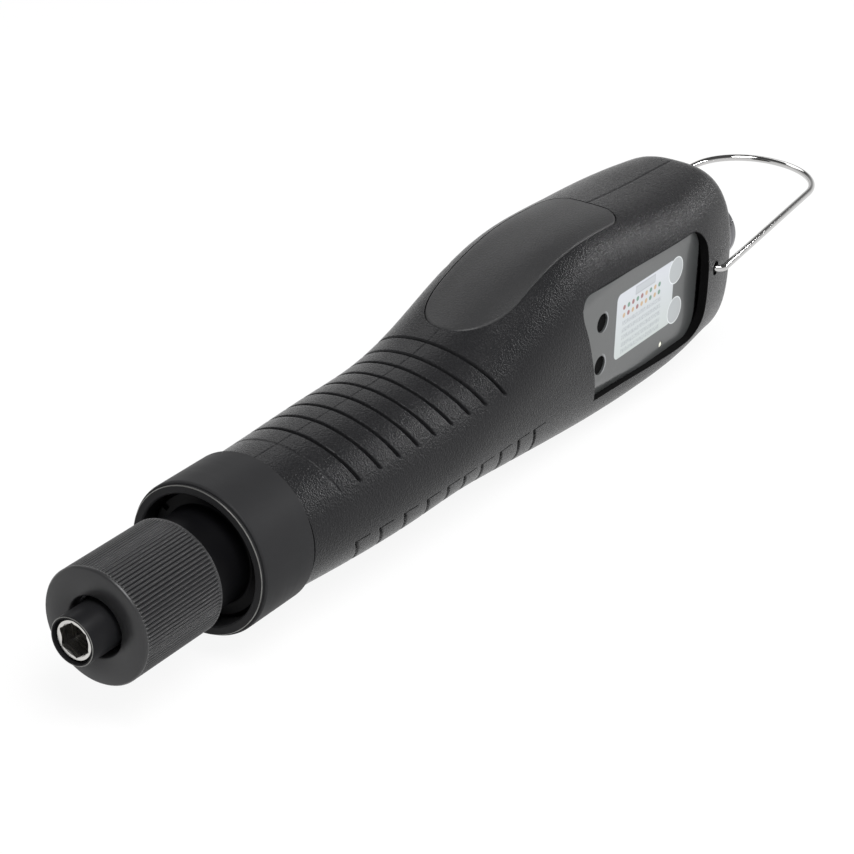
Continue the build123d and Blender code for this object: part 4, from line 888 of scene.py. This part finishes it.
place("torque_ring_knurled", knurledRing(), ringBlack, "torque_ring", "torque_ring", slot="ring_metal",
      smoothBelow=50)
print("nose made")

# The front collar and the clutch barrel seen in its mouth
collar = {"front": 36.9, "rear": 53.8, "radius": 16.5, "mouth": 14.1, "thread": 45.7, "threadR": 14.67, "rim": 0.6,
          "rimSteps": 6, "mouthEdge": 0.3, "rearEdge": 0.55, "lipR": 15.95, "lip": 0.75, "lipEdge": 0.14}
barrel = {"front": 15.6, "bore": 9.0, "radius": 10.5, "web": 40.4, "cupR": 13.6, "end": 60.6, "gearBore": 12.6,
          "floor": 42.6, "bearingBore": 5.02, "hubFront": 38.48, "hubR": 5.9, "edge": 0.6, "root": 0.5,
          "ballWayR": 1.55, "ballCircle": 7.7, "notch": (12.6, 35.0, 1.5, 1.0)}


def collarSolid():
    c = collar
    lip = c["front"] + c["lip"]
    rim = [(c["front"], c["lipR"] - c["lipEdge"]), (c["front"] + c["lipEdge"], c["lipR"]), (lip, c["lipR"] - 0.1)]
    rim += [(lip + c["rim"] * (1 - cos(a)), c["radius"] - 0.4 * (1 - sin(a)))
            for a in (pi / 2 * i / c["rimSteps"] for i in range(c["rimSteps"] + 1))]
    return turnedSolid([(c["front"], c["mouth"] + c["mouthEdge"])] + rim + [
        (c["rear"] - c["rearEdge"], c["radius"]), (c["rear"], c["radius"] - c["rearEdge"]), (c["rear"], c["threadR"]),
        (c["thread"], c["threadR"]), (c["thread"], c["mouth"]), (c["front"] + c["mouthEdge"], c["mouth"])], 200)


def barrelSolid():
    b = barrel
    root = [(b["web"] - b["root"] * (1 - sin(a)), b["radius"] + b["root"] * (1 - cos(a)))
            for a in (pi / 2 * i / 5 for i in range(6))]
    return turnedSolid([(b["front"], b["bore"])] + [(b["front"], b["radius"] - 0.2), (b["front"] + 0.2, b["radius"])]
                       + root + [
        (b["web"], b["cupR"] - b["edge"]), (b["web"] + b["edge"], b["cupR"]), (b["end"], b["cupR"]),
        (b["end"], b["gearBore"]), (b["floor"], b["gearBore"]), (b["floor"], b["bearingBore"]),
        (b["hubFront"], b["bearingBore"]), (b["hubFront"], b["hubR"]), (b["web"], b["hubR"]),
        (b["web"], b["bore"])], 160)


def ballWays():
    b = barrel
    ways = []
    for i in range(3):
        angle = tau * i / 3
        bm = prismAlong([(b["ballWayR"] * cos(tau * j / 32), b["ballWayR"] * sin(tau * j / 32)) for j in range(32)],
                        "x", b["web"] - 1, b["floor"] + 1)
        bmesh.ops.translate(bm, vec=(0, b["ballCircle"] * cos(angle), b["ballCircle"] * sin(angle)), verts=bm.verts)
        ways.append(linked("cutter", bm))
    radius, turn, width, deep = b["notch"]
    notch = prismAlong(rectangle(radius, 0, width, width), "x", b["web"] - 0.5, b["web"] + deep)
    bmesh.ops.rotate(notch, cent=(0, 0, 0), matrix=Matrix.Rotation(radians(turn), 3, "X"), verts=notch.verts)
    return ways + [linked("cutter", notch)]


place("front_collar_turned", collarSolid(), collarBlack, "housing", "front_collar", slot="collar_metal")
place("clutch_barrel_turned", barrelSolid(), barrelDark, "housing", "clutch_barrel", slot="barrel_steel",
      cutters=ballWays())
print("collar made")

# The power socket at the tail
socket = {"inner": 224.7, "coreR": 4.6, "neckR": 6.0, "base": 232.42, "flangeR": 8.8, "barrel": 234.42, "radius": 8.0,
          "end": 247.0, "bore": 6.7, "floor": 236.42, "ring": 245.2, "ringDepth": 0.3, "keyWidth": 1.6, "keyDepth": 1.0}


def socketSolid():
    s = socket
    r = s["radius"]
    return turnedSolid([
        (s["inner"], s["coreR"]), (s["inner"], s["neckR"]), (s["base"], s["neckR"]), (s["base"], s["flangeR"] - 0.3),
        (s["base"] + 0.3, s["flangeR"]), (s["barrel"] - 0.3, s["flangeR"]), (s["barrel"], s["flangeR"] - 0.3),
        (s["barrel"], r + 0.2), (s["barrel"] + 0.2, r), (s["ring"] - 0.7, r), (s["ring"] - 0.4, r - s["ringDepth"]),
        (s["ring"], r - s["ringDepth"]), (s["ring"] + 0.3, r), (s["end"] - 0.4, r), (s["end"], r - 0.4),
        (s["end"], s["bore"] + 0.2), (s["end"] - 0.2, s["bore"]), (s["floor"], s["bore"]),
        (s["floor"], s["coreR"])], 128)


def keyway():
    s = socket
    half = s["keyWidth"] / 2
    return prismAlong([(-half, s["bore"] - 1), (-half, s["bore"] + s["keyDepth"] * 0.7),
                       (half, s["bore"] + s["keyDepth"] * 0.7), (half, s["bore"] - 1)], "x", s["end"] - 4,
                      s["end"] + 1)


place("power_socket_plated", socketSolid(), darkenedSocketChrome, "housing", "power_socket", slot="chrome_plate",
      cutters=[linked("cutter", keyway())])

# The bail, one bent wire
bail = {"x": 212.2, "z": 6.4, "wireR": 0.85, "tip": 284.1, "half": 21.8, "endHalf": 14.8, "pin": 5.1,
        "bends": (2.2, 16.0, 16.0, 2.2), "sides": 24, "arcStep": 5.0}


def bentWire(corners, bends, radius, sides, arcStep):
    # straight runs and arcs in a plane across Z
    points = [Vector(p) for p in corners]
    runs = [b - a for a, b in zip(points, points[1:])]
    turns = [a.xy.angle_signed(b.xy) * -1 for a, b in zip(runs, runs[1:])]
    cutBack = [0.0] + [r * abs(sin(t / 2) / cos(t / 2)) for r, t in zip(bends, turns)] + [0.0]
    bm = bmesh.new()
    bmesh.ops.create_circle(bm, segments=sides, radius=radius)
    bmesh.ops.rotate(bm, cent=(0, 0, 0), matrix=runs[0].to_track_quat("Z", "Y").to_matrix(), verts=bm.verts)
    bmesh.ops.translate(bm, vec=points[0], verts=bm.verts)
    front = bm.edges[:]
    bmesh.ops.contextual_create(bm, geom=front)
    at = points[0].copy()
    for i, run in enumerate(runs):
        step = run.normalized() * (run.length - cutBack[i] - cutBack[i + 1])
        made = bmesh.ops.extrude_edge_only(bm, edges=front)["geom"]
        verts = [g for g in made if isVert(g)]
        bmesh.ops.translate(bm, vec=step, verts=verts)
        front = [e for e in bm.edges if e.verts[0] in set(verts) and e.verts[1] in set(verts)]
        at += step
        if i < len(turns):
            side = 1 if turns[i] > 0 else -1
            centre = at + Vector((0, 0, side)).cross(run.normalized()) * bends[i]
            swept = bmesh.ops.spin(bm, geom=verts + front, cent=centre, axis=(0, 0, 1), angle=turns[i],
                                   dvec=(0, 0, 0), steps=max(4, round(abs(turns[i]) / radians(arcStep))),
                                   use_merge=False, use_duplicate=False)["geom_last"]
            verts = [g for g in swept if isVert(g)]
            front = [g for g in swept if isinstance(g, bmesh.types.BMEdge)]
            at = centre + Matrix.Rotation(turns[i], 3, "Z") @ (at - centre)
    bmesh.ops.contextual_create(bm, geom=front)
    bmesh.ops.recalc_face_normals(bm, faces=bm.faces)
    return bm


def bailWire():
    b = bail
    inside = b["half"] - b["pin"]
    corners = [(b["x"], -inside), (b["x"], -b["half"]), (b["tip"], -b["endHalf"]), (b["tip"], b["endHalf"]),
               (b["x"], b["half"]), (b["x"], inside)]
    return bentWire([(x, y, b["z"]) for x, y in corners], b["bends"], b["wireR"], b["sides"], b["arcStep"])


place("bail_wire", bailWire(), chromePlate, "bail", "bail", slot="chrome_plate", smoothBelow=60)
print("socket and bail made")

# Cross-recessed screws and the ribbed direction knob on the far side
screw = {"shankR": 1.3, "shankEnd": -7.0, "seat": 6.02, "headR": 2.5, "head": 1.78, "dome": 0.35, "arm": 1.7,
         "armWidth": 0.55, "armDepth": 0.9}


def screws():
    s = screw
    whole = []
    top = s["seat"] + s["head"]
    for x, z in farSide["screws"]:
        bm = turnedSolid([(s["shankEnd"], 0), (s["shankEnd"], s["shankR"] - 0.2), (s["shankEnd"] + 0.3, s["shankR"]),
                          (s["seat"], s["shankR"]), (s["seat"], s["headR"]), (top - s["dome"], s["headR"]),
                          (top - s["dome"] / 3, s["headR"] * 0.85), (top, s["headR"] * 0.5), (top, 0)], 48)
        bmesh.ops.rotate(bm, cent=(0, 0, 0), matrix=Matrix.Rotation(pi / 2, 3, "Z"), verts=bm.verts)
        bmesh.ops.translate(bm, vec=(x, 0, z), verts=bm.verts)
        item = linked("screw", bm)
        arms = [linked("cutter", prismAlong(rectangle(x, z, *size), "y", top - s["armDepth"], top + 1))
                for size in ((2 * s["arm"], s["armWidth"]), (s["armWidth"], 2 * s["arm"]))]
        apply(item, "DIFFERENCE", arms)
        whole.append(item)
    return taken(*whole)


place("shell_screw_set", screws(), screwBlack, "housing", "shell_screws", slot="screw_steel")

knob = {"x": 190.0, "z": 4.0, "length": 6.0, "height": 5.0, "base": 17.3, "rise": 3.1, "stem": 2.4, "stemFrom": 15.4,
        "edge": 0.5, "ribs": 5, "ribPitch": 1.0, "ribWidth": 0.45, "ribDepth": 0.35}


def knobSolid():
    k = knob
    top = k["base"] + k["rise"]
    cap = prismAlong(rectangle(k["x"], k["z"], k["length"], k["height"]), "y", k["base"], top, [0.8] * 4, 4)
    soften(cap, k["edge"], 3, 60, lambda e: all(v.co.y > top - 0.01 for v in e.verts))
    item = linked("knob", cap)
    first = k["x"] - k["ribPitch"] * (k["ribs"] - 1) / 2
    apply(item, "DIFFERENCE", [
        linked("cutter", prismAlong(rectangle(first + i * k["ribPitch"], k["z"], k["ribWidth"], 20), "y",
                                    top - k["ribDepth"], top + 1)) for i in range(k["ribs"])])
    stem = prismAlong(rectangle(k["x"], k["z"], k["stem"], k["stem"]), "y", k["stemFrom"], k["base"] + 0.5)
    return taken(item, linked("stem", stem))


place("direction_knob_ribbed", knobSolid(), knobBlack, "direction_knob", "direction_knob", slot="knob_plastic")
lamp = {"x": 191.4, "z": -6.8, "radius": 0.8, "front": 17.6, "back": 12.2, "base": 1.6, "foot": 10.62}


def lampSolid():
    # a domed lens on its base, turned on the axis and swung to face the panel
    s = lamp
    dome = [(s["front"] - s["radius"] * 0.5 * (1 - cos(a)), s["radius"] * sin(a)) for a in
            (pi / 2 * i / 6 for i in range(7))]
    bm = turnedSolid(dome + [(s["back"], s["radius"]), (s["back"], s["base"]), (s["foot"], s["base"]),
                             (s["foot"], 0)], 32)
    bmesh.ops.rotate(bm, cent=(0, 0, 0), matrix=Matrix.Rotation(-pi / 2, 3, "Z"), verts=bm.verts)
    bmesh.ops.translate(bm, vec=(s["x"], 0, s["z"]), verts=bm.verts)
    return bm


place("status_lamp_lens", lampSolid(), lampPale, "housing", "status_lamp", slot="lamp_plastic")
print("screws, knob and lamp made")

# Camera, floor and light
view = {"azimuth": -57.146, "elevation": 27.168, "roll": 1.891, "distance": 478.235, "focalPixels": 2600.0,
        "nosePixel": (71.703, 642.049), "frame": 854, "sensor": 36}
# walls: heights where they begin and end to darken, and the strengths there
stage = {"walls": (0.1, 0.55, 0.92, 0.1), "floorWhite": 0.9, "floorSize": 6.0, "drop": 0.0005}
lamps = (("key", (-0.1, -0.35, 0.75), (0.13, 0, 0), (0.5, 0.5), 9.0),
         ("rear strip", (0.35, 0.45, 0.5), (0.15, 0, 0), (0.9, 0.25), 1.6),
         ("shoulder strip", (0.72, -0.33, 0.34), (0.2, 0, 0.02), (0.5, 0.03), 2.0))


def makeCamera():
    a, e, r = (radians(view[k]) for k in ("azimuth", "elevation", "roll"))
    back = Vector((sin(a) * cos(e), -cos(a) * cos(e), sin(e)))
    right = Vector((cos(a), sin(a), 0))
    up = back.cross(right)
    right, up = cos(r) * right + sin(r) * up, cos(r) * up - sin(r) * right
    half = view["frame"] / 2
    nx, ny = view["nosePixel"]
    d, f = view["distance"], view["focalPixels"]
    spot = d * back - (nx - half) / f * d * right + (ny - half) / f * d * up
    camera = bpy.data.objects.new("camera", bpy.data.cameras.new("camera"))
    camera.data.sensor_width = view["sensor"]
    camera.data.lens = f / view["frame"] * view["sensor"]
    camera.data.clip_start = 0.01
    camera.matrix_world = Matrix.Translation(spot * mm) @ Matrix((right, up, back)).transposed().to_4x4()
    bpy.context.scene.collection.objects.link(camera)
    bpy.context.scene.camera = camera


def areaLight(name, spot, target, size, energy):
    light = bpy.data.lights.new(name, "AREA")
    light.shape, light.size, light.size_y, light.energy = "RECTANGLE", *size, energy
    item = bpy.data.objects.new(name, light)
    aim = (Vector(target) - Vector(spot)).to_track_quat("-Z", "Y")
    item.matrix_world = Matrix.Translation(spot) @ aim.to_matrix().to_4x4()
    bpy.context.scene.collection.objects.link(item)


def twoWays(tree, plain, white, output, share):
    # white for the camera, mirrors and glass, and the plain shader for everything else
    path = tree.nodes.new("ShaderNodeLightPath")
    seen = None
    for ray in ("Is Camera Ray", "Is Glossy Ray", "Is Transmission Ray"):
        if seen is None:
            seen = path.outputs[ray]
            continue
        most = tree.nodes.new("ShaderNodeMath")
        most.operation = "MAXIMUM"
        tree.links.new(seen, most.inputs[0])
        tree.links.new(path.outputs[ray], most.inputs[1])
        seen = most.outputs[0]
    part = tree.nodes.new("ShaderNodeMath")
    part.operation = "MULTIPLY"
    part.inputs[1].default_value = share
    tree.links.new(seen, part.inputs[0])
    mix = tree.nodes.new("ShaderNodeMixShader")
    for i, socket in enumerate((part.outputs[0], plain.outputs[0], white.outputs[0])):
        tree.links.new(socket, mix.inputs[i])
    tree.links.new(mix.outputs[0], output.inputs[0])


def makeWorld():
    world = bpy.data.worlds.new("studio")
    bpy.context.scene.world = world
    world.use_nodes = True
    tree = world.node_tree
    tree.nodes.clear()
    output = tree.nodes.new("ShaderNodeOutputWorld")
    background = tree.nodes.new("ShaderNodeBackground")
    background.inputs[0].default_value = (1, 1, 1, 1)
    height = tree.nodes.new("ShaderNodeSeparateXYZ")
    fall = tree.nodes.new("ShaderNodeMapRange")
    fall.interpolation_type = "SMOOTHSTEP"
    for i, value in enumerate(stage["walls"]):
        fall.inputs[i + 1].default_value = value
    tree.links.new(tree.nodes.new("ShaderNodeTexCoord").outputs["Generated"], height.inputs[0])
    tree.links.new(height.outputs[2], fall.inputs[0])
    tree.links.new(fall.outputs[0], background.inputs[1])
    tree.links.new(background.outputs[0], output.inputs[0])


def makeFloor():
    bm = bmesh.new()
    bmesh.ops.create_grid(bm, x_segments=1, y_segments=1, size=stage["floorSize"] / mm)
    bmesh.ops.translate(bm, vec=(0, 0, (cadBox[0][2] - stage["drop"]) / mm), verts=bm.verts)
    item = linked("floor", bm)
    material = bpy.data.materials.new("floor")
    material.use_nodes = True
    tree = material.node_tree
    tree.nodes.clear()
    output = tree.nodes.new("ShaderNodeOutputMaterial")
    matte = tree.nodes.new("ShaderNodeBsdfDiffuse")
    matte.inputs[0].default_value = (0.9, 0.9, 0.9, 1)
    glow = tree.nodes.new("ShaderNodeEmission")
    twoWays(tree, matte, glow, output, stage["floorWhite"])
    item.data.materials.append(material)


makeWorld()
makeFloor()
for settings in lamps:
    areaLight(*settings)
makeCamera()
bpy.context.scene.view_settings.view_transform = "Standard"
print("stage and camera set")

# Every node that stays in view has a finish of its own
finishes = {
    "bit_detent_balls": groundSteel, "clutch_balls": groundSteel, "sleeve_snap_ring": groundSteel,
    "torque_spring_washer": groundSteel, "clutch_pressure_washer": groundSteel, "output_planet_pins": groundSteel,
    "input_planet_pins": groundSteel, "push_rod": groundSteel, "rotor_shaft": groundSteel,
    "spindle_bearing": groundSteel, "motor_bearings": groundSteel, "sleeve_spring": springSteel,
    "start_return_spring": springSteel, "torque_spring": springSteel, "motor_can": zincSteel,
    "motor_front_plate": zincSteel, "motor_rear_plate": zincSteel, "switch_bracket": zincSteel,
    "rotor_magnet": magnetDark, "stator_core": stackIron, "stator_coils": copperWire, "start_switch": switchBlack,
    "start_switch_plunger": switchBlack, "direction_switch": switchBlack, "direction_knob": knobBlack,
    "panel_label": panelGrey, "status_lamp": lampPale, "speed_trimmer": trimmerGrey,
    "soft_start_trimmer": trimmerGrey, "trimmer_bodies": trimmerBlue, "control_board": boardGreen,
    "drive_transistors": chipBlack, "board_capacitor": capacitorCan, "shell_screws": screwBlack,
    "board_screws": screwBlack, "power_socket": darkenedSocketChrome, "socket_nut": darkenedSocketChrome, "bail": chromePlate,
    "socket_insulator": insulatorBlack, "socket_pins": pinBrass, "quick_release_sleeve": sleeveBlack,
    "torque_ring": ringBlack, "front_collar": collarBlack, "clutch_barrel": barrelDark, "thumb_pad": padPlastic,
    "left_shell": shellPlastic, "right_shell": shellPlastic, "bit_holder": holderSteel,
}
for node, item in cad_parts.items():
    item.data.materials.clear()
    item.data.materials.append(finishes.get(node, gearSteel))
print("nodes finished")
